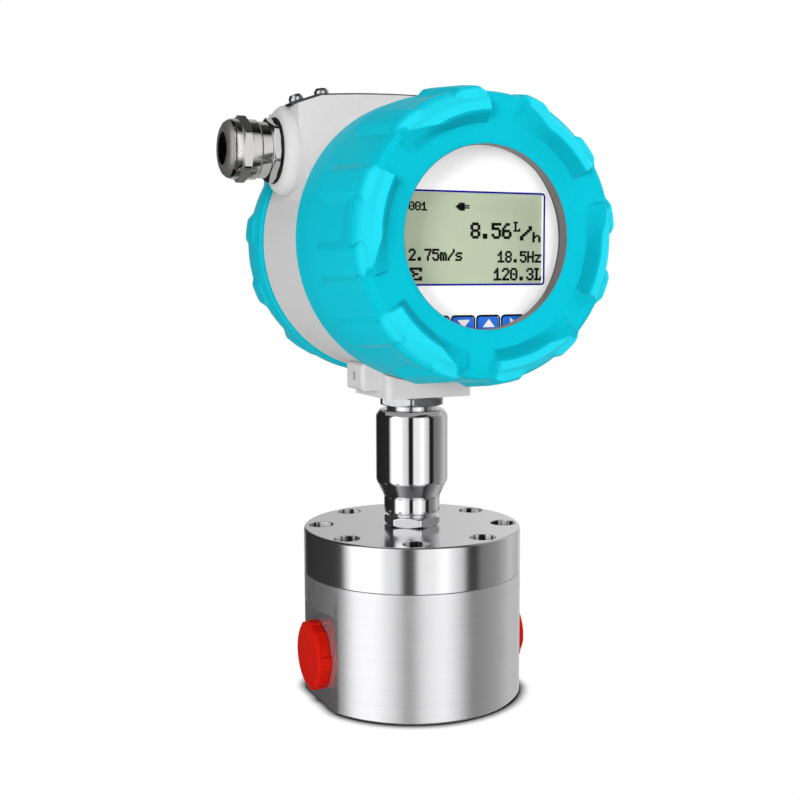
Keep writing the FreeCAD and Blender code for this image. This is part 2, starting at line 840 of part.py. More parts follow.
def saddle_outline():
    """Cross-section of the saddle on top of the barrel, about the head's axis."""
    half, reach = s.saddle_half, s.saddle_reach
    return [
        (-reach, s.saddle_eave), (-reach, s.saddle_eave - 8), (-50, 26), (50, 26),
        (reach, s.saddle_eave - 8), (reach, s.saddle_eave), (half, s.saddle_shoulder, -s.saddle_arch),
        (-half, s.saddle_shoulder),
    ]


def plate_spots():
    """Placements of the plate screws: at each end one on the arch and one on the flap."""
    crown = s.saddle_shoulder.value + arch_rise()
    outer = s.saddle_arch.value + s.plate_thickness.value
    slope = math.atan2(
        s.saddle_shoulder.value - s.saddle_eave.value, s.saddle_reach.value - s.saddle_half.value
    )
    lean = math.asin(s.plate_screw_top.value / outer)
    spots = []
    y = s.plate_screw_row.value
    lift = s.plate_thickness.value
    for side in (-1, 1):
        arch_z = crown - s.saddle_arch.value + outer * math.cos(lean)
        spots.append((side * s.plate_screw_top.value, y, arch_z, side * lean))
        along = s.plate_screw_flap.value - s.saddle_half.value
        flap_z = s.saddle_shoulder.value - along * math.tan(slope)
        flap_x = s.plate_screw_flap.value + lift * math.sin(slope)
        spots.append((side * flap_x, y, flap_z + lift * math.cos(slope), side * slope))
    return [
        FreeCAD.Placement(
            FreeCAD.Vector(x, y, z + s.head_height.value),
            FreeCAD.Rotation(FreeCAD.Vector(0, 1, 0), math.degrees(tilt)),
        )
        for x, y, z, tilt in spots
    ]


def arch_rise():
    """How far the saddle's crown stands above its shoulders."""
    arch, half = s.saddle_arch.value, s.saddle_half.value
    return arch - math.sqrt(arch * arch - half * half)


def make_housing():
    body = new_body("housing_body")
    barrel = outline(
        new_sketch(body, "barrel_profile", "XY_Plane"),
        [(0, -s.barrel_front), (s.barrel_radius, -s.barrel_front), (s.barrel_radius, s.barrel_rear),
         (0, s.barrel_rear)],
    )
    turn_about(body, "Revolution", barrel, "Y_Axis")
    saddle = outline(new_sketch(body, "saddle", "XZ_Plane", -s.saddle_centre), saddle_outline())
    extrude(body, "Pad", saddle, s.saddle_width, both_ways=True)
    boss = circle(
        new_sketch(body, "entry_boss", "YZ_Plane"), s.saddle_centre, s.entry_height, s.entry_boss
    )
    extrude(body, "Pad", boss, s.entry_reach * 2, both_ways=True)
    neck = rectangle(
        new_sketch(body, "neck_block", "XY_Plane", -s.neck_drop),
        (-s.neck_half, -s.neck_front), (s.neck_half, s.neck_rear),
    )
    extrude(body, "Pad", neck, 19)
    lug = rectangle(
        new_sketch(body, "set_screw_lug", "XY_Plane", -s.lug_low),
        (-s.lug_reach, -s.lug_half), (-s.neck_half + 1, s.lug_half),
    )
    extrude(body, "Pad", lug, s.lug_low - s.lug_high)
    reach, low = s.entry_reach.value, -s.neck_drop.value

    def boss_rim(edge):
        middle = edge.CenterOfMass
        flat = edge.BoundBox.XLength < 0.01 and abs(abs(middle.x) - reach) < 0.01
        return flat and edge.BoundBox.ZLength > 2

    round_edges(body, "boss_rims", s.entry_round, boss_rim)

    def neck_corner(edge):
        upright = edge.BoundBox.XLength < 0.01 and edge.BoundBox.YLength < 0.01
        outer = abs(abs(edge.CenterOfMass.x) - s.neck_half.value) < 0.01
        return upright and outer and edge.BoundBox.ZMin < low + 0.01

    round_edges(body, "neck_corners", s.neck_round, neck_corner)

    def lug_corner(edge):
        return abs(edge.CenterOfMass.x + s.lug_reach.value) < 0.01

    round_edges(body, "lug_corners", 2.0, lug_corner)
    cover_room = outline(
        new_sketch(body, "cover_room", "XY_Plane"),
        [(0, -30), (s.cover_rim + 0.6, -30), (s.cover_rim + 0.6, -s.barrel_front), (0, -s.barrel_front)],
    )
    turn_about(body, "Groove", cover_room, "Y_Axis")
    mouth_low = s.barrel_front - s.mouth_depth
    front = outline(
        new_sketch(body, "front_chamber", "XY_Plane"),
        [(0, -s.barrel_front - 1), (s.mouth_radius, -s.barrel_front - 1), (s.mouth_radius, -mouth_low),
         (s.thread_radius, -mouth_low), (s.thread_radius, -s.wall_front), (0, -s.wall_front)],
    )
    turn_about(body, "Groove", front, "Y_Axis")
    rear_low = s.barrel_rear - s.mouth_depth
    rear = outline(
        new_sketch(body, "rear_chamber", "XY_Plane"),
        [(0, -s.wall_rear), (s.chamber_radius, -s.wall_rear), (s.chamber_radius, 18.5),
         (s.thread_radius, 18.5), (s.thread_radius, rear_low), (s.mouth_radius, rear_low),
         (s.mouth_radius, s.barrel_rear + 1), (0, s.barrel_rear + 1)],
    )
    turn_about(body, "Groove", rear, "Y_Axis")
    entry = circle(
        new_sketch(body, "cable_entries", "YZ_Plane"), s.saddle_centre, s.entry_height, s.entry_bore
    )
    extrude(body, "Pocket", entry, s.entry_reach * 2 + 4, both_ways=True)
    nipple = circle(new_sketch(body, "neck_thread", "XY_Plane", -s.neck_drop), 0, 0, s.nipple_radius + 0.06)
    extrude(body, "Pocket", nipple, s.nipple_engagement + 0.6, reverse=True)
    wires = circle(new_sketch(body, "wire_way", "XY_Plane", -s.neck_drop), 0, -9, 4)
    extrude(body, "Pocket", wires, 19, reverse=True)
    screw = circle(
        new_sketch(body, "set_screw_hole", "YZ_Plane", -s.lug_reach - 1), 0, -s.set_screw_drop,
        s.set_screw_radius + 0.06,
    )
    extrude(body, "Pocket", screw, s.lug_reach - 8, reverse=True)
    place(body, (0, 0, s.head_height))
    drill = cylinder("plate_drill", s.screw_shank + 0.05, 11, (0, 0, -9.5))
    holes = copies("plate_holes", drill, plate_spots())
    node(cut("housing", body, [holes]), "housing")
    node(
        cylinder(
            "set_screw", s.set_screw_radius, s.lug_reach - s.nipple_radius - 1.2,
            (-s.nipple_radius - 0.4, 0, s.head_height - s.set_screw_drop), "-x",
        ),
        "neck_set_screw",
    )
    return holes


def make_top_plate(holes):
    body = new_body("plate_body")
    half, lift = s.saddle_half, s.plate_thickness
    slope_x = (s.saddle_reach - half).value
    slope_z = (s.saddle_shoulder - s.saddle_eave).value
    grade = slope_z / slope_x
    length = math.hypot(slope_x, slope_z)
    end_z = s.saddle_shoulder - (s.plate_reach - half) * grade
    tip_x = s.plate_reach + lift * (slope_z / length)
    tip_z = end_z + lift * (slope_x / length)
    bend_x = half + lift * 0.1
    bend_z = s.saddle_shoulder + lift
    profile = outline(
        new_sketch(body, "plate_profile", "XZ_Plane", -s.plate_centre),
        [(-s.plate_reach, end_z), (-half, s.saddle_shoulder, s.saddle_arch), (half, s.saddle_shoulder),
         (s.plate_reach, end_z), (tip_x, tip_z), (bend_x, bend_z, -(s.saddle_arch + lift)),
         (-bend_x, bend_z), (-tip_x, tip_z)],
    )
    extrude(body, "Pad", profile, s.plate_width, both_ways=True)
    place(body, (0, 0, s.head_height))
    boss_at = (-s.entry_reach, s.saddle_centre, s.head_height + s.entry_height)
    boss_room = cylinder("plate_boss_room", s.entry_boss + 0.3, s.entry_reach * 2, boss_at, "+x")
    node(cut("plate", body, [holes, boss_room]), "top_plate")
    screw = turned(
        "plate_screw",
        [(0, -s.screw_length), (s.screw_shank, -s.screw_length), (s.screw_shank, 0.02), (s.screw_head, 0.02),
         (s.screw_head, s.screw_head_height * 0.45), (s.screw_head * 0.72, s.screw_head_height * 0.9),
         (0, s.screw_head_height)],
        (0, 0, 0),
    )
    node(copies("plate_screws", screw, plate_spots()), "top_plate_screws")


# Screwed covers with grips

def add_grips(body, mark, lug_profile, face_profile, phase):
    """Six grips: a raised face between two prouder lugs, spun round the cover."""
    face = outline(new_sketch(body, f"{mark}_grip_face", "XZ_Plane", swing=phase), face_profile)
    features = [turn_about(body, "Revolution", face, "Z_Axis", s.grip_span)]
    for side in (-1, 1):
        swing = phase + side * s.grip_lug_offset
        name = f"{mark}_grip_lug_{'low' if side < 0 else 'high'}"
        lug = outline(new_sketch(body, name, "XZ_Plane", swing=swing), lug_profile)
        features.append(turn_about(body, "Revolution", lug, "Z_Axis", s.grip_lug_span))
    polar(body, features, "Z_Axis", s.grip_count)


def make_front_cover():
    body = new_body("front_cover_body")
    rim, crest, shoulder = s.barrel_front + s.rim_gap, s.front_crest, s.front_shoulder
    bore, window = s.cover_bore, s.window_radius
    profile = outline(
        new_sketch(body, "front_cover_profile", "XZ_Plane"),
        [(bore, rim - s.front_skirt), (s.skirt_radius, rim - s.front_skirt), (s.skirt_radius, rim),
         (s.cover_rim, rim), (s.cover_rim, rim + 15), (54.7, shoulder), (53.9, shoulder + 5),
         (52.5, crest - 1.6), (50, crest), (46.4, crest), (window + 0.6, s.window_station + 0.5),
         (window, s.window_station),
         (window, s.glass_seat), (bore, s.glass_seat)],
    )
    turn_about(body, "Revolution", profile, "Z_Axis")
    lug = [(56, 39.5), (59.4, 41.5), (57.3, 60), (56.1, shoulder + 3), (55.2, crest - 2),
           (53.3, crest + 0.6), (50, crest + 1.2), (47, crest - 2), (51, 60)]
    face = [(53.4, 61), (54.8, shoulder + 1), (54.2, shoulder + 5.5), (52.8, crest - 1), (50.4, crest + 1.4),
            (46.5, crest + 2.2), (43, crest + 1.4), (41.8, crest - 0.4), (42.5, crest - 3), (49, 61)]
    add_grips(body, "front", lug, face, s.grip_phase)
    node(place(body, (0, 0, s.head_height), "-y"), "front_cover")
    seat = s.glass_seat
    gasket_at = seat - s.gasket_thickness
    glass_at = gasket_at - s.glass_thickness
    for label, outer, inner, thickness, station in (
        ("glass_gasket", s.glass_radius, s.gasket_bore, s.gasket_thickness, gasket_at),
        ("glass_retainer", s.glass_radius + 0.1, s.retainer_bore, s.retainer_height,
         glass_at - s.retainer_height),
    ):
        node(tube(f"{label}_ring", outer, inner, thickness, (0, -station, s.head_height), "-y"), label)
    node(
        cylinder("glass", s.glass_radius, s.glass_thickness, (0, -glass_at, s.head_height), "-y"),
        "window_glass",
    )
    seal_at = s.barrel_front - s.mouth_depth * 0.5
    node(
        ring("front_o_ring", s.cover_seal_circle, s.cover_seal_section, (0, -seal_at, s.head_height), "-y"),
        "front_cover_seal",
    )


def make_rear_cover():
    body = new_body("rear_cover_body")
    rim, face_at, shoulder = s.barrel_rear + s.rim_gap, s.rear_face, s.rear_shoulder
    bore = s.cover_bore
    profile = outline(
        new_sketch(body, "rear_cover_profile", "XZ_Plane"),
        [(bore, rim - s.rear_skirt), (s.skirt_radius, rim - s.rear_skirt), (s.skirt_radius, rim),
         (s.cover_rim, rim), (s.cover_rim, rim + 9), (54.5, shoulder), (50, face_at - 2), (45, face_at),
         (0, face_at), (0, face_at - 4), (42.5, face_at - 4), (bore, shoulder)],
    )
    turn_about(body, "Revolution", profile, "Z_Axis")
    lug = [(56, 40), (58.8, 41.5), (58, shoulder - 1), (56.6, shoulder + 2), (52.5, face_at - 1.2),
           (49, face_at - 4), (50.5, shoulder - 4)]
    face = [(53.5, 50), (55.4, shoulder - 2), (54.6, shoulder + 1), (50.5, face_at - 0.6), (47, face_at + 1.2),
            (43, face_at + 1), (42, face_at - 1), (48, shoulder)]
    add_grips(body, "rear", lug, face, s.rear_grip_phase)
    node(place(body, (0, 0, s.head_height), "+y"), "rear_cover")
    seal_at = s.barrel_rear - s.mouth_depth * 0.5
    node(
        ring("rear_o_ring", s.cover_seal_circle, s.cover_seal_section, (0, seal_at, s.head_height), "+y"),
        "rear_cover_seal",
    )


# Display module and boards

def key_centres():
    """Middle of each key across the face, as Sizes."""
    return [s.key_shift + s.key_pitch * (index - 1.5) for index in range(4)]


def make_display():
    face, depth = s.bezel_station, s.bezel_face
    cup = turned(
        "bezel_cup",
        [(0, -depth), (s.bezel_radius - s.bezel_wall, -depth),
         (s.bezel_radius - s.bezel_wall, s.display_board_station + 0.1 - face),
         (s.bezel_radius, s.display_board_station + 0.1 - face), (s.bezel_radius, -0.4),
         (s.bezel_radius - 0.4, 0), (0, 0)],
        (0, -face, s.head_height),
        "-y",
    )
    front_y = -face - 1
    through = depth + 2
    window = box(
        "lcd_window", (s.lcd_width, through, s.lcd_height),
        (s.lcd_width * -0.5, front_y, s.head_height - s.lcd_height * 0.5),
    )
    tools = [window]
    low = s.head_height - s.key_drop - s.key_height * 0.5
    for index, centre in enumerate(key_centres()):
        gap = s.key_gap
        tools.append(
            box(f"key_hole_{index}", (s.key_width + gap * 2, through, s.key_height + gap * 2),
                (centre - s.key_width * 0.5 - gap, front_y, low - gap))
        )
    node(cut("bezel", cup, tools), "display_bezel")
    lcd_width = s.lcd_width + s.lcd_border * 2
    lcd_height = s.lcd_height + s.lcd_border * 2
    node(
        box("lcd", (lcd_width, s.lcd_thickness, lcd_height),
            (lcd_width * -0.5, -face + depth + 0.05, s.head_height - lcd_height * 0.5)),
        "lcd_panel",
    )
    for label, centre in zip(("key_set", "key_down", "key_up", "key_right"), key_centres()):
        key = doc.addObject("Part::Chamfer", f"{label}_cap")
        key.Base = box(
            f"{label}_block", (s.key_width, s.key_depth, s.key_height),
            (centre - s.key_width * 0.5, -face - s.key_proud, low),
        )
        doc.recompute()
        rim = [
            i for i, edge in enumerate(key.Base.Shape.Edges, start=1)
            if abs(edge.CenterOfMass.y + (face + s.key_proud).value) < 0.01
        ]
        key.Edges = [(i, 0.3, 0.3) for i in rim]
        node(key, label)
    node(
        cylinder("display_disc", s.board_radius, s.board_thickness,
                 (0, -s.display_board_station + s.board_thickness, s.head_height), "-y"),
        "display_board",
    )
    node(
        cylinder("main_disc", s.board_radius - 2, s.board_thickness,
                 (0, -s.main_board_station + s.board_thickness, s.head_height), "-y"),
        "main_board",
    )
    stages = (
        ("upper_standoffs", s.main_board_station + 0.05,
         s.display_board_station - s.board_thickness - s.main_board_station - 0.1),
        ("lower_standoffs", s.wall_front + 0.05,
         s.main_board_station - s.board_thickness - s.wall_front - 0.1),
    )
    for label, station, length in stages:
        post = cylinder(f"{label}_post", s.standoff_radius, length, (0, -station, s.head_height), "-y")
        reach = s.standoff_offset.value
        spots = [
            FreeCAD.Placement(FreeCAD.Vector(x * reach, 0, z * reach), FreeCAD.Rotation())
            for x in (-1, 1) for z in (-1, 1)
        ]
        node(copies(f"{label}_set", post, spots), label)


def make_terminals():
    width, depth, rise = s.terminal_width, s.terminal_depth, s.terminal_rise
    low_z = s.head_height - rise * 0.5 - 6
    back = 0.05 - s.wall_rear
    block = box("terminal_base", (width, depth, rise), (width * -0.5, back, low_z))
    tools, screws = [], []
    for index in range(6):
        centre = s.terminal_pitch * (index - 2.5)
        mouth = (centre - 2.6, back + 4, low_z - 1)
        tools.append(box(f"wire_mouth_{index}", (5.2, 5, 8), mouth))
        tools.append(
            cylinder(f"screw_well_{index}", s.terminal_screw + 0.2, 6,
                     (centre, back + depth - 5, low_z + rise * 0.55), "+y")
        )
        screws.append(
            cylinder(f"clamp_screw_{index}", s.terminal_screw, 3,
                     (centre, back + depth - 4.9, low_z + rise * 0.55), "+y")
        )
    node(cut("terminals", block, tools), "terminal_block")
    node(copies("clamp_screws", fuse("clamp_row", screws), [FreeCAD.Placement()]), "terminal_screws")


# Cable gland and blanking plug

def make_gland():
    at = (-s.entry_reach, s.saddle_centre, s.head_height + s.entry_height)
    start = s.gland_gasket
    node(tube("gland_ring_seal", 13.4, s.gland_spigot + 0.1, start, at, "-x"), "gland_gasket")
    collar_at = (-s.entry_reach - start, s.saddle_centre, s.head_height + s.entry_height)
    collar = chamfered_hex("gland_hex", s.gland_flats, s.gland_corner, s.gland_collar, collar_at, "-x", 8.0)
    ring_end, thread_end = s.gland_ring_end, s.gland_thread_end
    shaft = turned(
        "gland_shaft",
        [(0, -13), (s.gland_spigot, -13), (s.gland_spigot, start), (s.gland_ring, start + 1),
         (s.gland_ring, ring_end), (s.gland_thread, ring_end), (s.gland_thread, thread_end), (0, thread_end)],
        at,
        "-x",
    )
    inside = turned(
        "gland_inside",
        [(0, -14), (s.gland_bore, -14), (s.gland_bore, 9.6), (s.gland_seat, 9.6),
         (s.gland_seat, thread_end + 1), (0, thread_end + 1)],
        at,
        "-x",
    )
    node(cut("gland", fuse("gland_blank", [collar, shaft]), [inside]), "gland_body")
    node(
        turned(
            "gland_bush",
            [(s.gland_seal_bore, 9.8), (s.gland_seat - 0.2, 9.8), (s.gland_seat - 0.2, 15),
             (s.gland_seat - 1, 16.4), (s.gland_seal_bore, 16.4)],
            at,
            "-x",
        ),
        "gland_seal",
    )
    node(
        turned("gland_ring", [(s.gland_mouth + 0.2, 16.7), (9.2, 16.7), (9.2, 17.7),
                              (s.gland_mouth + 0.2, 17.7)], at, "-x"),
        "gland_washer",
    )
    radius, end = s.gland_nut_radius, s.gland_nut_end
    dome = turned(
        "gland_dome",
        [(0, ring_end + 0.3), (radius - 0.5, ring_end + 0.3), (radius, ring_end + 0.8), (radius, end - 3.6),
         (radius - 0.5, end - 2.2), (radius - 1.5, end - 0.9), (radius - 3.2, end), (0, end)],
        at,
        "-x",
    )
    band_at = (-s.entry_reach - 12.2, s.saddle_centre, s.head_height + s.entry_height)
    band = chamfered_hex("gland_band", radius * 2, radius * 1.11, 4.4, band_at, "-x", 22.0)
    hollow = turned(
        "gland_hollow",
        [(0, ring_end - 1), (s.gland_nut_bore, ring_end - 1), (s.gland_nut_bore, 18),
         (s.gland_mouth, 18), (s.gland_mouth, end + 1), (0, end + 1)],
        at,
        "-x",
    )
    node(cut("gland_cap", fuse("gland_cap_blank", [dome, band]), [hollow]), "gland_nut")


def make_blanking_plug():
    at = (s.entry_reach, s.saddle_centre, s.head_height + s.entry_height)
    height = s.blank_height
    blank = turned(
        "blank_shape",
        [(0, -13), (s.gland_spigot, -13), (s.gland_spigot, 0.02), (s.blank_flange, 0.02),
         (s.blank_flange, height - 1), (s.blank_flange - 1, height), (0, height)],
        at,
        "+x",
    )
    socket_at = (s.entry_reach + height - 6, s.saddle_centre, s.head_height + s.entry_height)
    socket = hexagon("blank_hex", s.blank_socket, 8, socket_at, "+x")
    node(cut("blank", blank, [socket]), "blanking_plug")


# Build, test and write

def build():
    make_chamber_body()
    make_chamber_cover()
    make_cover_bolts()
    make_chamber_seal()
    make_dowel_pins()
    make_gear_train()
    make_stem()
    make_port_bush("inlet_bush", -1, "-x")
    make_port_bush("outlet_bush", 1, "+x")
    make_port_plug("inlet_plug", -1, "-x")
    make_port_plug("outlet_plug", 1, "+x")
    make_top_plate(make_housing())
    make_front_cover()
    make_rear_cover()
    make_display()
    make_terminals()
    make_gland()
    make_blanking_plug()
    doc.recompute()


def check():
    """Stops on any failed object or any empty or faulty sub-part."""
    for obj in doc.Objects:
        if "Invalid" in obj.State or "Error" in obj.State:
            raise RuntimeError(f"{obj.Name} failed: {obj.State}")
    for label, obj in NODES.items():
        if obj.Shape.isNull() or not obj.Shape.isValid() or not obj.Shape.Solids:
            raise RuntimeError(f"{label} has no valid solid")


def write():
    os.makedirs("parts", exist_ok=True)
    for label, obj in NODES.items():
        obj.Shape.exportStep(os.path.join("parts", f"{label}.step"))
        print(f"{label}: {len(obj.Shape.Solids)} solids, {obj.Shape.Volume:.0f} mm3")


build()
check()
write()
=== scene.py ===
import json
import logging
import math
from dataclasses import dataclass
from enum import Enum

import bmesh
import bpy
import numpy as np
from mathutils import Matrix, Vector


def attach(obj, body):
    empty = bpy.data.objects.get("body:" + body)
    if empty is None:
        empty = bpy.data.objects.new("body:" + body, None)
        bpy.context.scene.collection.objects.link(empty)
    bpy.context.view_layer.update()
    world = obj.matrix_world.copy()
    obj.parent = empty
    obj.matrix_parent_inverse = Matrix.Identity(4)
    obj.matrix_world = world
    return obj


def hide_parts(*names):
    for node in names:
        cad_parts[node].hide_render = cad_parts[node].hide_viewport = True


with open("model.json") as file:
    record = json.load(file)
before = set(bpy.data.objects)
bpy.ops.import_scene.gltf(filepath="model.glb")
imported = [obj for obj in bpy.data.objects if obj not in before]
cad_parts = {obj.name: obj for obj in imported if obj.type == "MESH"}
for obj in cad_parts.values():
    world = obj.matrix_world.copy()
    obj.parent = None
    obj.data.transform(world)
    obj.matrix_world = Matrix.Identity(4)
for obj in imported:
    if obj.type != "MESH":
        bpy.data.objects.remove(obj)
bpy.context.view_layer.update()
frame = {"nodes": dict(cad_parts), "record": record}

MM = 0.001
HEAD_Z = 196.2
ENTRY = (8.0, 233.5)
COVER_RIM = 46.5
PORT_FLAT = 43.0
CRISP_ANGLE = 32.0
log = logging.getLogger("flow_meter")

Point = tuple[float, float]
Triple = tuple[float, float, float]


def linear(code: str) -> tuple[float, float, float, float]:
    """Turn an sRGB hex colour into Blender's linear colour.

    Args:
        code: colour as "#rrggbb".

    Returns:
        Linear red, green and blue with a full alpha.
    """
    srgb = np.array([int(code[i:i + 2], 16) for i in (1, 3, 5)]) / 255.0
    flat = np.where(srgb <= 0.04045, srgb / 12.92, ((srgb + 0.055) / 1.055) ** 2.4)
    return (*flat.tolist(), 1.0)


def add_node(tree: bpy.types.NodeTree, kind: str, settings: dict | None = None,
             links: dict | None = None) -> bpy.types.Node:
    """Add a node with its settings and links.

    Args:
        tree: node tree that gets the node.
        kind: Blender's name of the node type.
        settings: values by socket name, socket number or node property.
        links: source sockets by socket name or number.

    Returns:
        The new node.
    """
    node = tree.nodes.new(kind)
    for key, value in (settings or {}).items():
        if isinstance(key, int) or key in node.inputs:
            node.inputs[key].default_value = value
        else:
            setattr(node, key, value)
    for key, source in (links or {}).items():
        tree.links.new(source, node.inputs[key])
    return node


class Axis(Enum):
    """Axis that a part was turned about, as the rotation that brings it to Z."""

    X = (0.0, math.pi / 2, 0.0)
    Y = (math.pi / 2, 0.0, 0.0)
    Z = (0.0, 0.0, 0.0)


@dataclass(frozen=True)
class Finish:
    """A surface finish, with one pattern that drives its tint, gloss and bump.

    The plain finish is a fine isotropic grain, as a moulded, cast or blasted
    surface has. Subclasses give other patterns.
    """

    name: str
    colour: str
    shade: str
    rough: tuple[float, float]
    metal: float = 0.0
    grain_mm: float = 1.0
    depth_mm: float = 0.01
    coat: float = 0.0
    alpha: float = 1.0
    glow: float = 0.0
    sheen: float = 0.5

    def pattern(self, tree: bpy.types.NodeTree) -> bpy.types.NodeSocket:
        """Add the height pattern: fractal noise with grains of grain_mm.

        Args:
            tree: the material's node tree.

        Returns:
            Socket with the height, from 0 to 1.
        """
        place = add_node(tree, "ShaderNodeTexCoord")
        noise = add_node(tree, "ShaderNodeTexNoise",
                         {"Scale": 1.0 / (self.grain_mm * MM), "Detail": 3.0, "Roughness": 0.55},
                         {"Vector": place.outputs["Object"]})
        return noise.outputs["Fac"]

    def tint(self, tree: bpy.types.NodeTree, height: bpy.types.NodeSocket) -> bpy.types.NodeSocket:
        """Add the tint: colour and shade mixed by the pattern's height.

        Args:
            tree: the material's node tree.
            height: socket with the pattern's height.

        Returns:
            Socket with the tint.
        """
        mixed = add_node(tree, "ShaderNodeMix",
                         {"data_type": "RGBA", 6: linear(self.colour), 7: linear(self.shade)}, {0: height})
        return mixed.outputs[2]

    def material(self) -> bpy.types.Material:
        """Make the finish's material the first time it is asked for.

        Returns:
            The material, which all pieces with this finish share.
        """
        known = bpy.data.materials.get(self.name)
        if known:
            return known
        made = bpy.data.materials.new(self.name)
        made.use_nodes = True
        tree = made.node_tree
        tree.nodes.clear()
        height = self.pattern(tree)
        tint = self.tint(tree, height)
        gloss = add_node(tree, "ShaderNodeMapRange",
                         {"To Min": self.rough[0], "To Max": self.rough[1]}, {"Value": height})
        bump = add_node(tree, "ShaderNodeBump",
                        {"Strength": 0.6, "Distance": self.depth_mm * MM}, {"Height": height})
        shader = add_node(tree, "ShaderNodeBsdfPrincipled",
                          {"Metallic": self.metal, "Coat Weight": self.coat, "Coat Roughness": 0.12,
                           "Alpha": self.alpha, "Emission Strength": self.glow,
                           "Specular IOR Level": self.sheen},
                          {"Base Color": tint, "Roughness": gloss.outputs["Result"],
                           "Normal": bump.outputs["Normal"]})
        if self.glow:
            tree.links.new(tint, shader.inputs["Emission Color"])
        add_node(tree, "ShaderNodeOutputMaterial", {}, {"Surface": shader.outputs["BSDF"]})
        return made


@dataclass(frozen=True)
class Enamel(Finish):
    """Enamel with painted light: a painted highlight colour and a painted shade colour mixed in by a point
    attribute.
    """

    # Colours of the painted highlight, at -1, and of the painted shade, at 1.
    highlight_and_thin_lines: str = "#ffffff"
    shade_tone: str = "#000000"

    def tint(self, tree: bpy.types.NodeTree, height: bpy.types.NodeSocket) -> bpy.types.NodeSocket:
        """Add the tint: the plain colour mixed towards the painted highlight colour at -1 and the painted
        shade colour at 1 of a point attribute.

        Args:
            tree: the material's node tree.
            height: socket with the pattern's height.

        Returns:
            Socket with the tint.
        """
        plain = Finish.tint(self, tree, height)
        # Painted light per point: -1 for a painted highlight, 1 for painted shade.
        film = add_node(tree, "ShaderNodeAttribute", {"attribute_name": "film"})
        for code, end in ((self.highlight_and_thin_lines, -1.0), (self.shade_tone, 1.0)):
            share = add_node(tree, "ShaderNodeMapRange", {"From Max": end}, {"Value": film.outputs["Fac"]})
            mixed = add_node(tree, "ShaderNodeMix", {"data_type": "RGBA", 7: linear(code)},
                             {0: share.outputs["Result"], 6: plain})
            plain = mixed.outputs[2]
        return plain


@dataclass(frozen=True)
class TurnedMetal(Finish):
    """Metal cut on a lathe: fine rings about the axis on sides and end faces."""

    axis: Axis = Axis.Z
    centre: Triple = (0.0, 0.0, 0.0)

    def pattern(self, tree: bpy.types.NodeTree) -> bpy.types.NodeSocket:
        """Add noise read at (radius, height), so that it forms rings grain_mm wide.

        Args:
            tree: the material's node tree.

        Returns:
            Socket with the height, from 0 to 1.
        """
        place = add_node(tree, "ShaderNodeTexCoord")
        turned = add_node(tree, "ShaderNodeMapping",
                          {"vector_type": "TEXTURE", "Location": tuple(v * MM for v in self.centre),
                           "Rotation": self.axis.value}, {"Vector": place.outputs["Object"]})
        split = add_node(tree, "ShaderNodeSeparateXYZ", {}, {"Vector": turned.outputs["Vector"]})
        flat = add_node(tree, "ShaderNodeCombineXYZ", {},
                        {"X": split.outputs["X"], "Y": split.outputs["Y"]})
        radius = add_node(tree, "ShaderNodeVectorMath", {"operation": "LENGTH"},
                          {0: flat.outputs["Vector"]})
        rings = add_node(tree, "ShaderNodeCombineXYZ", {},
                         {"X": radius.outputs["Value"], "Y": split.outputs["Z"]})
        noise = add_node(tree, "ShaderNodeTexNoise",
                         {"Scale": 1.0 / (self.grain_mm * MM), "Detail": 2.0, "Roughness": 0.5},
                         {"Vector": rings.outputs["Vector"]})
        return noise.outputs["Fac"]


@dataclass(frozen=True)
class BrushedMetal(Finish):
    """Metal marked one way: streaks many times longer than they are wide."""

    stretch: Triple = (0.04, 1.0, 1.0)
    spread: float = 0.5

    def pattern(self, tree: bpy.types.NodeTree) -> bpy.types.NodeSocket:
        """Add noise squeezed along the streaks, its middle 2 * spread stretched to the full range.

        Args:
            tree: the material's node tree.

        Returns:
            Socket with the height, from 0 to 1.
        """
        place = add_node(tree, "ShaderNodeTexCoord")
        pulled = add_node(tree, "ShaderNodeMapping", {"Scale": self.stretch},
                          {"Vector": place.outputs["Object"]})
        noise = add_node(tree, "ShaderNodeTexNoise",
                         {"Scale": 1.0 / (self.grain_mm * MM), "Detail": 3.0},
                         {"Vector": pulled.outputs["Vector"]})
        full = add_node(tree, "ShaderNodeMapRange",
                        {"From Min": 0.5 - self.spread, "From Max": 0.5 + self.spread},
                        {"Value": noise.outputs["Fac"]})
        return full.outputs["Result"]


@dataclass(frozen=True)
class LcdGlass(Finish):
    """Reflective LCD: a pale green field crossed by the dark lines of its dots."""

    dot_mm: float = 0.55

    def pattern(self, tree: bpy.types.NodeTree) -> bpy.types.NodeSocket:
        """Add a grid of lines, the larger of a sine wave along X and one along Z.

        Args:
            tree: the material's node tree.

        Returns:
            Socket with the height, from 0 to 1.
        """
        place = add_node(tree, "ShaderNodeTexCoord")
        waves = [
            add_node(tree, "ShaderNodeTexWave",
                     {"bands_direction": way, "wave_profile": "SIN",
                      "Scale": 0.314 / (self.dot_mm * MM)}, {"Vector": place.outputs["Object"]})
            for way in ("X", "Z")
        ]
        most = add_node(tree, "ShaderNodeMath", {"operation": "MAXIMUM"},
                        {0: waves[0].outputs["Fac"], 1: waves[1].outputs["Fac"]})
        highlight_and_thin_lines = add_node(tree, "ShaderNodeMath", {"operation": "POWER", 1: 8.0},
                        {0: most.outputs["Value"]})
        return highlight_and_thin_lines.outputs["Value"]


# Stainless steel turned on a lathe: bright, soft-edged reflections over fine rings. The real
# rings are about 0.1 mm apart and are drawn 0.7 mm apart so that they show.
TURNED_STEEL = TurnedMetal("turned_stainless_steel", "#eeeeef", "#e6e6e8", (0.14, 0.18), 0.98, 0.7, 0.0015)
# The same steel with a coarser feed on the body: the bands blur more.
BODY_STEEL = TurnedMetal("coarse_turned_stainless_steel", "#ededee", "#e4e4e6", (0.28, 0.33), 0.88, 0.8,
                         0.002)
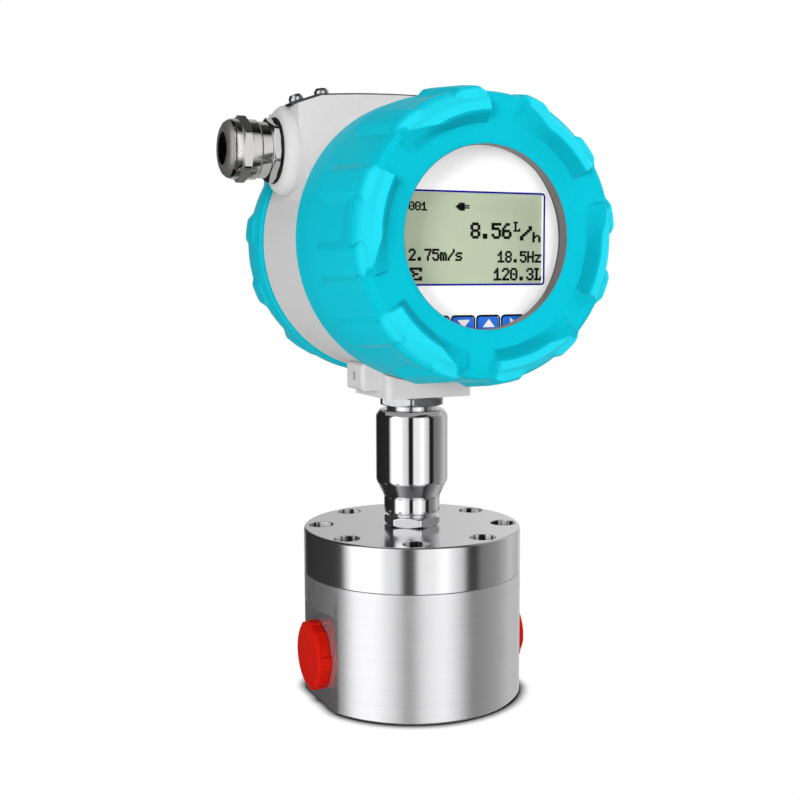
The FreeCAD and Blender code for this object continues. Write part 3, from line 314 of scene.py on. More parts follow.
# Stainless steel turned and buffed: hard mirror bands with almost no rings left.
POLISHED_STEEL = TurnedMetal("polished_stainless_steel", "#f0f0f1", "#e6e6e8", (0.04, 0.06), 1.0, 1.2, 0.0005)
# Milled and polished flats round the ports: a near mirror that doubles the red caps.
FLAT_STEEL = Finish("milled_and_polished_steel", "#b6b6b8", "#acacae", (0.15, 0.2), 0.72, 1.5, 0.001)
# Drilled bore walls: upright drill streaks coloured white beside near black, painted glints and painted shade
# over the drill marks.
BORE_STEEL = BrushedMetal("drilled_steel_bore", "#ffffff", "#1c1c1e", (0.2, 0.35), 0.35, 2.6, 0.002,
                          stretch=(1.0, 1.0, 0.02), spread=0.08)
# Ground alloy steel of the gears and axles: an even satin.
GROUND_STEEL = Finish("ground_alloy_steel", "#b9bbbe", "#a4a6aa", (0.28, 0.38), 1.0, 0.6, 0.003)
# Cold-headed stainless fasteners: bright with a faint forging grain.
FASTENER_STEEL = Finish("cold_headed_stainless", "#d6d7d9", "#b9bbbe", (0.14, 0.26), 1.0, 1.4, 0.006)
# Stainless strip, coloured dark so that its edges show as dark lines: painted shade for the shadowed gap
# under the plate.
PLATE_STEEL = BrushedMetal("dark_oxidised_stainless_strip", "#5b5c5e", "#48494b", (0.25, 0.36), 1.0, 0.5,
                           0.004)
# Oil-filled sintered bronze of the bushes and the brass posts: warm and slightly open-grained.
BEARING_BRASS = Finish("sintered_bronze", "#b98d4a", "#8f6a34", (0.32, 0.5), 1.0, 0.5, 0.01)
# Nickel-plated magnet: a cool mirror.
MAGNET = Finish("nickel_plated_magnet", "#c9c7c1", "#b4b2ac", (0.15, 0.22), 1.0, 1.0, 0.002)
# Black nitrile rubber: matt, with a mould bloom.
SEAL_RUBBER = Finish("black_nitrile_rubber", "#151516", "#232324", (0.6, 0.78), 0.0, 0.8, 0.012, sheen=0.25)
# Red low-density polythene, moulded: waxy, a little cloudy.
RED_PLASTIC = Finish("moulded_red_polythene", "#d21b0a", "#c51406", (0.4, 0.5), 0.0, 2.2, 0.012, sheen=0.07)
# Light grey powder coat on an aluminium casting: semi-matt with a fine orange peel.
GREY_PAINT = Finish("grey_powder_coat", "#cfcfcf", "#c7c7c7", (0.45, 0.55), 0.0, 1.3, 0.012, sheen=0.3)
# Cyan stoving enamel on an aluminium casting, smooth, with a painted highlight colour for grip slopes and a
# painted shade colour for grip hollows.
CYAN_PAINT = Enamel("cyan_stoving_enamel", "#0bb5c8", "#08adc0", (0.28, 0.36), 0.0, 2.0, 0.008, sheen=0.008,
                    highlight_and_thin_lines="#2ad2e6", shade_tone="#0699ad")
# White printed polycarbonate face: satin, with a painted glow that lifts its white though it is no lamp.
WHITE_PLASTIC = Finish("white_printed_polycarbonate", "#fcfcfc", "#f6f6f6", (0.38, 0.46), 0.0, 0.5, 0.002,
                       glow=0.18, sheen=0.3)
# Reflective LCD behind its glass, with its backlight on.
LCD = LcdGlass("reflective_lcd", "#b2bea4", "#a9b59c", (0.3, 0.36), 0.0, 1.0, 0.0, glow=0.06, sheen=0.1)
# Driven LCD dots: near black.
LCD_INK = Finish("lcd_dark_dots", "#0a0c0a", "#101210", (0.4, 0.5), 0.0, 0.6, 0.0, sheen=0.04)
# Green solder mask on glass-fibre board: the weave shows through.
BOARD = Finish("green_solder_mask", "#1f6b3a", "#18552e", (0.3, 0.42), 0.0, 0.9, 0.01)
# Blue silicone rubber keys: soft sheen.
BLUE_KEYS = Finish("blue_silicone_rubber", "#2f7bea", "#276fdc", (0.45, 0.55), 0.0, 1.6, 0.006, sheen=0.2)
# Printed inks on the face: dense and satin.
BLACK_INK = Finish("black_screen_ink", "#08080a", "#101012", (0.4, 0.5), 0.0, 0.4, 0.001, sheen=0.06)
BLUE_INK = Finish("blue_screen_ink", "#14149a", "#10108a", (0.4, 0.5), 0.0, 0.4, 0.001, sheen=0.06)
WHITE_INK = Finish("white_screen_ink", "#ffffff", "#f6f6f6", (0.4, 0.5), 0.0, 0.4, 0.001)
# Warm dark grey ring round the window and along the window's wall; it shows past the window's edge as a grey
# crescent.
WINDOW_RING_GREY = Finish("grey_enamel_border", "#767171", "#6c6868", (0.4, 0.5), 0.0, 0.6, 0.001, sheen=0.15)
# Nickel plate on turned brass: hard, bright and slightly warm.
GLAND_PLATING = TurnedMetal("nickel_plated_brass", "#dddcda", "#cfcecb", (0.08, 0.14), 1.0, 0.9, 0.003,
                            axis=Axis.X, centre=(0.0, *ENTRY))
# The same plating on the nut's blasted front: a grey satin round the dark of the seal.
SATIN_PLATING = Finish("satin_nickel_plate", "#a9a8a6", "#8c8b89", (0.3, 0.4), 0.7, 0.8, 0.004)
# Toughened float glass: clear, with its gloss only.
WINDOW = Finish("toughened_float_glass", "#0a0d0d", "#0e1111", (0.02, 0.03), 0.0, 40.0, 0.0, alpha=0.02)
# Grey anodised aluminium clamping ring, turned.
RETAINER = TurnedMetal("grey_anodised_aluminium", "#77797b", "#6c6e70", (0.4, 0.5), 0.4, 0.8, 0.004,
                       axis=Axis.Y, centre=(0.0, 0.0, HEAD_Z))

SLOT_FINISHES: dict[str, Finish] = {
    "turned_steel": TURNED_STEEL, "polished_steel": POLISHED_STEEL, "ground_steel": GROUND_STEEL,
    "fastener_steel": FASTENER_STEEL, "plate_steel": PLATE_STEEL, "bearing_brass": BEARING_BRASS,
    "magnet": MAGNET, "seal_rubber": SEAL_RUBBER, "red_plastic": RED_PLASTIC, "grey_paint": GREY_PAINT,
    "cyan_paint": CYAN_PAINT, "white_plastic": WHITE_PLASTIC, "lcd": LCD, "board": BOARD,
    "blue_keys": BLUE_KEYS, "gland_plating": GLAND_PLATING, "window": WINDOW, "retainer": RETAINER,
}


def grid_faces(rows: int, columns: int, loop_rows: bool, loop_columns: bool) -> np.ndarray:
    """Number the quads of a grid of points that is stored row by row.

    Quad (i, j) joins points (i, j), (i + 1, j), (i + 1, j + 1) and (i, j + 1), and a looped
    direction goes on from its last point to its first.

    Args:
        rows: number of rows.
        columns: number of columns.
        loop_rows: whether the last row joins the first.
        loop_columns: whether the last column joins the first.

    Returns:
        Point numbers of the quads, four to a line.
    """
    i = np.arange(rows if loop_rows else rows - 1)[:, None]
    j = np.arange(columns if loop_columns else columns - 1)[None, :]
    k, n = (i + 1) % rows, (j + 1) % columns
    return np.stack([i * columns + j, k * columns + j, k * columns + n, i * columns + n], -1).reshape(-1, 4)


def make_piece(name: str, points: np.ndarray, faces: np.ndarray, body: str, finish: Finish, slot: str,
               stands_for: tuple[str, ...] = (), sharp: float = CRISP_ANGLE,
               film: np.ndarray | None = None) -> bpy.types.Object:
    """Put a surface into an object at the origin and set it on its body.

    Args:
        name: the piece's name.
        points: places in millimetres, three to a line.
        faces: point numbers of the faces.
        body: body that the piece moves with.
        finish: the piece's finish.
        slot: material slot of the record that the finish belongs to; not used.
        stands_for: CAD nodes that the piece replaces.
        sharp: angle in degrees above which an edge stays crisp.
        film: painted light at each point, from -1 for a painted highlight to 1 for painted shade.

    Returns:
        The new object.
    """
    mesh = bpy.data.meshes.new(name)
    mesh.from_pydata((points * MM).tolist(), [], faces.tolist())
    # Store the painted light and shade of each point for the enamel's tint.
    if film is not None:
        mesh.attributes.new("film", "FLOAT", "POINT").data.foreach_set("value", film)
    work = bmesh.new()
    work.from_mesh(mesh)
    bmesh.ops.remove_doubles(work, verts=work.verts, dist=2e-7)
    bmesh.ops.dissolve_degenerate(work, edges=work.edges, dist=1e-7)
    bmesh.ops.recalc_face_normals(work, faces=work.faces)
    work.to_mesh(mesh)
    work.free()
    mesh.polygons.foreach_set("use_smooth", np.ones(len(mesh.polygons), dtype=bool))
    mesh.set_sharp_from_angle(angle=math.radians(sharp))
    mesh.materials.append(finish.material())
    piece = bpy.data.objects.new(name, mesh)
    bpy.context.scene.collection.objects.link(piece)
    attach(piece, body)
    if stands_for:
        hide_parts(*stands_for)
    log.info("%s: %d faces on %s", name, len(mesh.polygons), body)
    return piece


def corners_rounded(corners: list[Point], radius: float, steps: int = 4) -> np.ndarray:
    """Round the inner corners of a polyline.

    Each corner gives way to a quadratic curve that starts and ends on its two runs, radius from
    the corner or at 45 % of the shorter run: (1-t)^2 A + 2t(1-t) corner + t^2 B.

    Args:
        corners: corner points.
        radius: distance from a corner at which its curve starts.
        steps: number of runs in each curve.

    Returns:
        Points of the rounded polyline.
    """
    pts = np.asarray(corners, dtype=float)
    run = np.diff(pts, axis=0)
    length = np.linalg.norm(run, axis=1)
    unit = run / length[:, None]
    reach = np.minimum(radius, 0.45 * np.minimum(length[:-1], length[1:]))[:, None]
    mid = pts[1:-1]
    start, end = mid - unit[:-1] * reach, mid + unit[1:] * reach
    t = np.linspace(0.0, 1.0, steps + 1)[None, :, None]
    arcs = (1 - t) ** 2 * start[:, None] + 2 * t * (1 - t) * mid[:, None] + t ** 2 * end[:, None]
    return np.concatenate([pts[:1], arcs.reshape(-1, 2), pts[-1:]])


def step_up(value: np.ndarray, low: float, high: float) -> np.ndarray:
    """Return a smooth step: 0 below low, 1 above high, 3t^2 - 2t^3 between."""
    t = np.clip((value - low) / (high - low), 0.0, 1.0)
    return t * t * (3.0 - 2.0 * t)


@dataclass
class GripCover:
    """A screwed cover with six finger grips round its rim.

    Stations run outwards along the head's axis from its middle. Each list holds the same
    number of corners, so a corner of the plain rim, of a lug and of a raised face answer to
    each other: the rim where there is no grip, the side lug, and the wedge on the front. Angles
    are in degrees. A fade is half of the angle over which a form rises, ridge_share the part of a
    grip along which its ridge climbs, and each painted-light value the colour painted on one part,
    from -1 for a painted highlight to 1 for painted shade.
    """

    name: str
    body: str
    node: str
    facing: float
    phase: float
    rim: list[Point]
    lug: list[Point]
    face: list[Point]
    inside: list[Point]
    counts: list[int]
    shoulder: int
    hollow: int
    face_half: float = 22.0
    face_fade: float = 0.6
    lug_at: float = 15.0
    lug_half: float = 6.2
    lug_fade: float = 2.6
    ridge_share: float = 0.55
    # Painted light on the side and the grips: below zero a painted highlight, above zero painted shade.
    side_painted_light: float = -0.12
    slope_painted_highlight: float = -0.6
    triangle_painted_shade: float = 0.35
    wall_painted_shade: float = 0.85
    crisp_angle: float = 24.0
    columns: int = 720

    def rows(self, corners: list[Point]) -> np.ndarray:
        """Divide one outer profile, with counts[k] even steps along run k.

        Args:
            corners: the profile's corners.

        Returns:
            Points of the profile, as radius and station.
        """
        pts = np.asarray(corners, dtype=float)
        runs = [pts[k] + (pts[k + 1] - pts[k]) * np.linspace(0, 1, n, endpoint=False)[:, None]
                for k, n in enumerate(self.counts)]
        return np.concatenate([*runs, pts[-1:]])

    def surface(self) -> tuple[np.ndarray, np.ndarray, np.ndarray]:
        """Work out the cover as a grid of profile rows and angles about the axis.

        At each angle the profile is the rim plus the larger of two shifts: lug - rim inside a
        lug's window, and face - rim inside a grip's window. The face's shift is whole at the
        clockwise end of the grip; towards the other end it falls away from a ridge that runs
        from the front's inner edge to the shoulder, which leaves a sloping triangle. The colour
        has a painted highlight on a grip's outer slope, painted shade on the triangle and the wall
        under it, and is painted a little lighter on the side.

        Returns:
            Points in millimetres, the faces of the grid and the painted light at each point, from -1 for
            a painted highlight to 1 for painted shade.
        """
        rim, lug, face = self.rows(self.rim), self.rows(self.lug), self.rows(self.face)
        starts = np.concatenate([[0], np.cumsum(self.counts)])
        angle = np.linspace(0.0, 360.0, self.columns, endpoint=False)
        local = (angle - self.phase + 30.0) % 60.0 - 30.0
        side = np.abs(np.abs(local) - self.lug_at)
        in_lug = 1.0 - step_up(side, self.lug_half - self.lug_fade, self.lug_half + self.lug_fade)
        in_face = 1.0 - step_up(np.abs(local), self.face_half - self.face_fade,
                                self.face_half + self.face_fade)
        along = np.clip((self.face_half - local) / (2 * self.face_half), 0.0, 1.0)
        row = np.arange(len(rim))
        begin, crest, end = (rim[starts[k], 0] for k in (self.shoulder, self.hollow - 2, self.hollow))
        inwards = np.clip((begin - rim[:, 0]) / (begin - end), 0.0, 1.0)
        across = np.where(row <= starts[self.shoulder], 0.0, inwards)
        ridge = np.clip(along / self.ridge_share, 0.02, 1.0)
        slope = (1.0 - across[:, None]) / np.maximum(1.0 - ridge[None, :], 0.03)
        wedge = np.clip(slope, 0.0, 1.0) * in_face[None, :]
        cut = 1.0 - step_up(slope, 0.9, 1.0)
        wall_top = (begin - crest) / (begin - end)
        wall = step_up(across, wall_top, wall_top + 0.06)[:, None]
        on_front = step_up(across, 0.0, 0.1) * (across < 1.0)
        # Painted highlight on the outer slope, painted shade on the triangle and on the wall under it.
        top_painted_shading = self.slope_painted_highlight + (self.triangle_painted_shade - self.slope_painted_highlight) * cut
        grip_painted_shading = wall * np.minimum(1.6 * along, self.wall_painted_shade) + (1.0 - wall) * top_painted_shading
        film = in_face[None, :] * on_front[:, None] * grip_painted_shading
        # The side is painted a little lighter.
        film = film + np.where(row < starts[self.shoulder], self.side_painted_light, 0.0)[:, None]
        raised = (face - rim)[:, None, :] * wedge[..., None]
        lugged = (lug - rim)[:, None, :] * in_lug[None, :, None]
        more = np.linalg.norm(lugged, axis=-1) > np.linalg.norm(raised, axis=-1)
        outer = rim[:, None, :] + np.where(more[..., None], lugged, raised)
        inner = np.repeat(np.asarray(self.inside, dtype=float)[:, None, :], self.columns, axis=1)
        grid = np.concatenate([outer, inner])
        film = np.concatenate([film, np.zeros(inner.shape[:2])])
        turn = np.radians(angle)[None, :]
        points = np.stack([grid[..., 0] * np.cos(turn), self.facing * grid[..., 1],
                           HEAD_Z + grid[..., 0] * np.sin(turn)], axis=-1)
        faces = grid_faces(grid.shape[0], self.columns, True, True)
        return points.reshape(-1, 3), faces, film.ravel()

    def build(self) -> None:
        """Make the cover and let it stand for its CAD node.

        Neither the steel nor the grey paint takes up its colour, as in the photograph.
        """
        points, faces, film = self.surface()
        shell = make_piece(self.name, points, faces, self.body, CYAN_PAINT, "cyan_paint", (self.node,),
                           self.crisp_angle, film)
        shell.visible_glossy = False
        shell.visible_diffuse = False


FRONT_SKIRT: list[Point] = [(49.9, 6.4), (49.9, 15.4), (57.4, 15.4), (58, 16), (58, 30.4), (57.1, 39.5)]
FRONT_CONE: list[Point] = [(46.6, 71.75), (45.2, 71.45), (42.0, 70.78)]
WINDOW_LIP: list[Point] = [(35.5, 69.4), (34.8, 68.9), (34.8, 64)]
FRONT_COVER = GripCover(
    name="front_cover_shell", body="front_cover", node="front_cover", facing=-1.0, phase=54.5,
    rim=[*FRONT_SKIRT, (56.9, 41.5), (55.1, 60), (54.5, 65), (53.9, 69), (52.9, 71.4), (50.6, 72.6),
         *FRONT_CONE, *WINDOW_LIP],
    lug=[*FRONT_SKIRT, (59.3, 41.5), (57.3, 60), (56.4, 65.5), (55.6, 70), (54.2, 72.4), (51.2, 73.4),
         *FRONT_CONE, *WINDOW_LIP],
    face=[*FRONT_SKIRT, (56.9, 41.5), (55.1, 60), (55.3, 65), (55.0, 68), (52.6, 71.2), (49.6, 75.2),
          (46.6, 75.8), (45.2, 75.1), (42.0, 70.95), *WINDOW_LIP],
    inside=[(46.8, 64), (46.8, 6.4)],
    counts=[1, 1, 1, 3, 3, 3, 9, 5, 4, 8, 10, 8, 3, 8, 4, 1, 1], shoulder=9, hollow=14,
)

REAR_SKIRT: list[Point] = [(49.9, 20.4), (49.9, 31.4), (57.4, 31.4), (58, 32), (58, 40.2)]
REAR_CROWN: list[Point] = [(45, 66.5), (42.5, 66.5), (40, 66.5), (0, 66.5)]
REAR_COVER = GripCover(
    name="rear_cover_shell", body="rear_cover", node="rear_cover", facing=1.0, phase=7.5,
    rim=[*REAR_SKIRT, (57.8, 41.4), (54.7, 57), (53.4, 59.6), (50, 64.5), (47, 65.7), *REAR_CROWN],
    lug=[*REAR_SKIRT, (58.5, 41.6), (56.7, 57), (55.4, 60), (51.5, 65.0), (49, 65.9), *REAR_CROWN],
    face=[*REAR_SKIRT, (57.8, 41.4), (55.4, 57), (54.6, 59), (50.5, 65.9), (47, 67.7), (45, 67.7), (43, 67.5),
          (42, 66.5), (0, 66.5)],
    inside=[(0, 62.5), (42.5, 62.5), (46.8, 58), (46.8, 20.4)],
    counts=[1, 1, 1, 2, 2, 8, 4, 6, 4, 3, 3, 2, 1], shoulder=7, hollow=11,
)


def rounded_ring(width: float, height: float, radius: float, steps: int = 6) -> tuple[np.ndarray, np.ndarray]:
    """Return a rounded rectangle's corner centres and directions, point by point.

    A point that lies d outside the outline is centre + (radius + d) * direction.

    Args:
        width: full width.
        height: full height.
        radius: corner radius.
        steps: runs in each corner's quarter circle.

    Returns:
        Centres and unit directions, both n x 2, in order round the outline.
    """
    turn = np.linspace(0.0, math.pi / 2, steps + 1)
    quarter = (np.arange(4) * math.pi / 2)[:, None] + turn[None, :]
    way = np.stack([np.cos(quarter), np.sin(quarter)], axis=-1)
    signs = np.array([(1, 1), (-1, 1), (-1, -1), (1, -1)])
    middle = signs * np.array([width / 2 - radius, height / 2 - radius])
    return np.repeat(middle, steps + 1, axis=0), way.reshape(-1, 2)


DOT_LETTERS: dict[str, tuple[str, ...]] = {
    "0": (".###.", "#...#", "#...#", "#.#.#", "#...#", "#...#", ".###."),
    "1": ("..#..", ".##..", "#.#..", "..#..", "..#..", "..#..", "#####"),
    "2": (".###.", "#...#", "....#", "...#.", "..#..", ".#...", "#####"),
    "3": (".###.", "#...#", "....#", "..##.", "....#", "#...#", ".###."),
    "5": ("#####", "#....", "####.", "....#", "....#", "#...#", ".###."),
    "6": ("..##.", ".#...", "#....", "####.", "#...#", "#...#", ".###."),
    "7": ("#####", "....#", "...#.", "...#.", "..#..", "..#..", "..#.."),
    "8": (".###.", "#...#", "#...#", ".###.", "#...#", "#...#", ".###."),
    ".": (".....", ".....", ".....", ".....", ".....", ".##..", ".##.."),
    "L": ("###..", ".#...", ".#...", ".#...", ".#...", ".#..#", "#####"),
    "/": ("....#", "....#", "...#.", "..#..", ".#...", "#....", "#...."),
    "h": ("#....", "#....", "#.##.", "##..#", "#...#", "#...#", "#...#"),
    "m": (".....", ".....", "##.#.", "#.#.#", "#.#.#", "#.#.#", "#.#.#"),
    "s": (".....", ".....", ".####", "#....", ".###.", "....#", "####."),
    "H": ("#...#", "#...#", "#...#", "#####", "#...#", "#...#", "#...#"),
    "z": (".....", ".....", "#####", "...#.", "..#..", ".#...", "#####"),
    "sum": ("######", "#....#", ".#....", "..##..", ".#....", "#....#", "######"),
    "supply": ("...####....", "..#####....", ".##########", "#######....", ".##########", "..#####....",
               "...####...."),
}


@dataclass(frozen=True)
class Reading:
    """One reading on the LCD: its signs, left edge and top in mm, and the size of its dots."""

    signs: tuple[str, ...]
    left: float
    top: float
    dot: Point


@dataclass
class DisplayPrint:
    """What the face shows: LCD dots, the printed frame, key outlines and the key caps.

    Stations run forwards from the head's middle. A crown's row is a share of the key's outline and
    its drop behind the key's front.
    """

    face: float = 57.3
    lcd_face: float = 55.95
    sign_thick: float = 0.06
    window: Point = (62.0, 34.6)
    window_corner: float = 0.8
    frame_width: float = 0.75
    key_size: Point = (9.0, 5.0)
    key_corner: float = 1.1
    key_pitch: float = 11.0
    key_shift: float = 0.9
    key_drop: float = 32.7
    key_back: float = 52.3
    key_front: float = 57.9
    crown: tuple[Point, ...] = (
        (1.0, 2.0), (1.0, 0.45), (0.985, 0.16), (0.95, 0.05), (0.88, 0.02), (0.6, 0.01), (0.3, 0.0),
        (0.0, 0.0),
    )
    outline_size: Point = (9.6, 5.6)
    outline_corner: float = 1.2
    outline_width: float = 0.55
    dot_sign: float = 1.3
    ring_columns: int = 192
    rings: tuple[tuple[str, Point, Point, Finish, str], ...] = (
        ("window_border", (37.5, 43.0), (58.06, 58.16), WINDOW_RING_GREY, "window"),
        ("window_wall", (34.6, 34.78), (64.05, 68.75), WINDOW_RING_GREY, "cyan_paint"),
    )
    readings: tuple[Reading, ...] = (
        Reading(("0", "0", "1"), -26.9, 13.6, (0.44, 0.46)),
        Reading(("supply",), -7.1, 13.6, (0.52, 0.42)),
        Reading(("8", ".", "5", "6"), -0.6, 6.2, (0.77, 0.85)),
        Reading(("L",), 18.3, 6.8, (0.56, 0.54)),
        Reading(("/",), 21.4, 5.2, (0.98, 0.78)),
        Reading(("h",), 27.0, 2.9, (0.66, 0.56)),
        Reading(tuple("2.75m/s"), -27.0, -4.0, (0.55, 0.63)),
        Reading(tuple("18.5Hz"), 11.3, -4.6, (0.555, 0.63)),
        Reading(("sum",), -26.4, -11.1, (0.78, 0.68)),
        Reading(tuple("120.3L"), 9.6, -11.2, (0.61, 0.68)),
    )

    def cells(self, reading: Reading) -> np.ndarray:
        """Cut a reading's dots into 3 x 3 cells and pick the dark ones.

        Every dark cell darkens its neighbours left and right and the one below, which gives the
        bold strokes of the real signs.

        Args:
            reading: the reading.

        Returns:
            Corners of the dark cells, four points of X and height each.
        """
        signs = [np.array([list(row) for row in DOT_LETTERS[sign]]) == "#" for sign in reading.signs]
        gap = np.zeros((7, 1), dtype=bool)
        sheet = np.concatenate([part for sign in signs for part in (sign, gap)], axis=1)
        fine = np.pad(np.kron(sheet, np.ones((3, 3), dtype=bool)), 1)
        bold = fine | np.roll(fine, 1, axis=1) | np.roll(fine, -1, axis=1)
        bold |= np.roll(bold, 1, axis=0)
        row, column = np.nonzero(bold)
        wide, high = reading.dot[0] / 3, reading.dot[1] / 3
        corner = np.array([(0, 0), (0, 1), (1, 1), (1, 0)])
        return np.stack([reading.left + (column[:, None] - 1 + corner[:, 0]) * wide,
                         reading.top - (row[:, None] - 1 + corner[:, 1]) * high], axis=-1)

    def build_readings(self) -> None:
        """Make the LCD's dark signs: their cells merged to one sheet, sign_thick through."""
        cells = np.concatenate([self.cells(reading) for reading in self.readings])
        y = np.full(cells.shape[:2], -self.lcd_face - 0.1)
        points = np.stack([cells[..., 0], y, HEAD_Z + cells[..., 1]], axis=-1).reshape(-1, 3)
        faces = np.arange(len(points)).reshape(-1, 4)
        signs = make_piece("lcd_readings", points, faces, "head", LCD_INK, "lcd")
        plate = signs.modifiers.new("plate", "SOLIDIFY")
        plate.thickness = self.sign_thick * MM
        plate.offset = 0.0

    def band(self, name: str, middle: Point, size: Point, radius: float, reach: Point,
             depth: Point, body: str, finish: Finish, slot: str) -> None:
        """Make a printed band: a flat rectangular profile carried round a rounded rectangle.

        Args:
            name: the piece's name.
            middle: centre of the outline, X and height above the head's axis.
            size: width and height of the outline.
            radius: corner radius of the outline.
            reach: how far the band starts and ends outside the outline.
            depth: stations of its back and front.
            body: body that the band rides on.
            finish: ink or paint.
            slot: material slot of the record.
        """
        centre, way = rounded_ring(*size, radius)
        (near, far), (back, front) = reach, depth
        profile = np.array([(near, back), (far, back), (far, front), (near, front)])
        flat = centre[None] + (radius + profile[:, :1, None]) * way[None]
        points = np.stack([middle[0] + flat[..., 0], np.broadcast_to(-profile[:, 1:], flat.shape[:2]),
                           HEAD_Z + middle[1] + flat[..., 1]], axis=-1)
        make_piece(name, points.reshape(-1, 3), grid_faces(4, len(centre), True, True), body, finish, slot)

    def build_key(self, label: str, middle: Point) -> None:
        """Make a key cap: its rounded outline carried back to front, then drawn in to a crown.

        Args:
            label: name of the key's node and body.
            middle: centre of the key, X and height above the head's axis.
        """
        centre, way = rounded_ring(*self.key_size, self.key_corner)
        ring = centre + self.key_corner * way
        length = self.key_front - self.key_back
        scale, drop = np.array([(0.0, length), (1.0, length), *self.crown]).T
        flat = ring[None] * scale[:, None, None]
        station = np.broadcast_to(self.key_front - drop[:, None], flat.shape[:2])
        points = np.stack([middle[0] + flat[..., 0], -station, HEAD_Z + middle[1] + flat[..., 1]], axis=-1)
        faces = grid_faces(len(scale), len(ring), False, True)
        make_piece(f"{label}_cap", points.reshape(-1, 3), faces, label, BLUE_KEYS, "blue_keys", (label,))

    def build_mark(self, label: str, middle: Point, outline: np.ndarray) -> None:
        """Make a key's printed sign: an outline drawn in to its middle, 0.04 mm proud of the key.

        Args:
            label: name of the key's body.
            middle: centre of the sign, X and height above the head's axis.
            outline: corner points of the sign about its middle.
        """
        scale = np.array([0.0, 1.0, 1.0, 0.0])
        station = self.key_front + np.array([-0.12, -0.12, 0.04, 0.04])
        flat = outline[None] * scale[:, None, None]
        points = np.stack([middle[0] + flat[..., 0], np.broadcast_to(-station[:, None], flat.shape[:2]),
                           HEAD_Z + middle[1] + flat[..., 1]], axis=-1)
        faces = grid_faces(4, len(outline), False, True)
        make_piece(f"{label}_sign", points.reshape(-1, 3), faces, label, WHITE_INK, "white_plastic")

    def build_border(self) -> None:
        """Make the warm dark grey ring round the window, just in front of the face, and the grey lining of
        the window's wall.

        Each is a ring: a four-cornered profile of radius and station turned about the head's axis.
        """
        turn = np.linspace(0.0, 2 * math.pi, self.ring_columns, endpoint=False)[None, :]
        faces = grid_faces(4, self.ring_columns, True, True)
        for name, (inner, outer), (low, high), finish, slot in self.rings:
            radius = np.array([inner, outer, outer, inner])[:, None]
            station = np.broadcast_to(np.array([low, low, high, high])[:, None], (4, self.ring_columns))
            points = np.stack([radius * np.cos(turn), -station, HEAD_Z + radius * np.sin(turn)], axis=-1)
            make_piece(name, points.reshape(-1, 3), faces, "front_cover", finish, slot)

    def build(self) -> None:
        """Make the readings, the border, the frame, the key outlines, the keys and their signs."""
        self.build_readings()
        self.build_border()
        self.band("lcd_frame", (0.0, 0.0), self.window, self.window_corner, (0.0, self.frame_width),
                  (self.face - 0.02, self.face + 0.07), "head", BLUE_INK, "white_plastic")
        down = np.array([(-2.7, 1.5), (0.0, -1.7), (2.7, 1.5)])
        turn = np.radians(np.arange(0, 360, 20.0))
        signs = {"key_set": self.dot_sign * np.stack([np.cos(turn), np.sin(turn)], -1), "key_down": down,
                 "key_up": -down, "key_right": np.array([(-1.6, -2.0), (1.9, 0.0), (-1.6, 2.0)])}
        for index, (label, outline) in enumerate(signs.items()):
            middle = (self.key_shift + self.key_pitch * (index - 1.5), -self.key_drop)
            self.build_key(label, middle)
            self.build_mark(label, middle, outline)
            self.band(f"{label}_outline", middle, self.outline_size, self.outline_corner,
                      (0.0, self.outline_width), (self.face - 0.02, self.face + 0.06), "head", BLACK_INK,
                      "white_plastic")


def body_of(node: str) -> str:
    """Return the name of the body that a CAD node belongs to."""
    bodies = frame["record"]["behaviour"]["bodies"]
    return next(name for name, nodes in bodies.items() if node in nodes)


def slot_of(node: str) -> str:
    """Return the record's slot name of a dressed CAD node."""
    return frame["nodes"][node].material_slots[0].material["slot"]


def read_all(items: bpy.types.bpy_prop_collection, name: str, width: int = 1,
             kind: type = float) -> np.ndarray:
    """Read one property of all items of a mesh.

    Args:
        items: the mesh's points, corners or faces.
        name: the property's name.
        width: number of values that each item has.
        kind: type of the values.

    Returns:
        The values, width to a line where there is more than one.
    """
    values = np.empty(len(items) * width, dtype=kind)
    items.foreach_get(name, values)
    return values.reshape(-1, width) if width > 1 else values


def even_light(piece: bpy.types.Object) -> None:
    """Let a piece's large faces set the shading, so that rounded edges don't bend their reflections.

    Args:
        piece: the piece.
    """
    even = piece.modifiers.new("even_light", "WEIGHTED_NORMAL")
    even.keep_sharp = True
    even.weight = 100


@dataclass
class TurnedPart:
    """A lathe part, its profile given as (radius, height) corners that start and end inside."""

    node: str
    foot: float
    corners: tuple[Point, ...]
    edge: float = 0.9
    columns: int = 288

    def surface(self) -> tuple[np.ndarray, np.ndarray]:
        """Carry the rounded profile round Z: (r, h) at angle a lies at (r cos a, r sin a, foot + h).

        Returns:
            Points in millimetres and the faces of the grid.
        """
        profile = corners_rounded(list(self.corners), self.edge)
        turn = np.linspace(0.0, 2 * math.pi, self.columns, endpoint=False)[None, :]
        radius = profile[:, :1]
        height = np.broadcast_to(self.foot + profile[:, 1:], (len(profile), self.columns))
        points = np.stack([radius * np.cos(turn), radius * np.sin(turn), height], axis=-1)
        return points.reshape(-1, 3), grid_faces(len(profile), self.columns, True, True)

    def build(self) -> None:
        """Make the part and let it stand for its CAD node."""
        slot = slot_of(self.node)
        even_light(make_piece(f"{self.node}_turned", *self.surface(), body_of(self.node), SLOT_FINISHES[slot],
                              slot, (self.node,)))


TURNED_PARTS: tuple[TurnedPart, ...] = (
    TurnedPart("stem_sleeve", 79.1, (
        (9.45, 0.0), (11.65, 0.0), (12.25, 0.6), (12.25, 7.5), (15.7, 14.4), (15.7, 43.0), (13.9, 45.6),
        (10.05, 45.6), (10.05, 37.6), (13.0, 35.6), (13.0, 14.4), (9.45, 11.5),
    )),
)


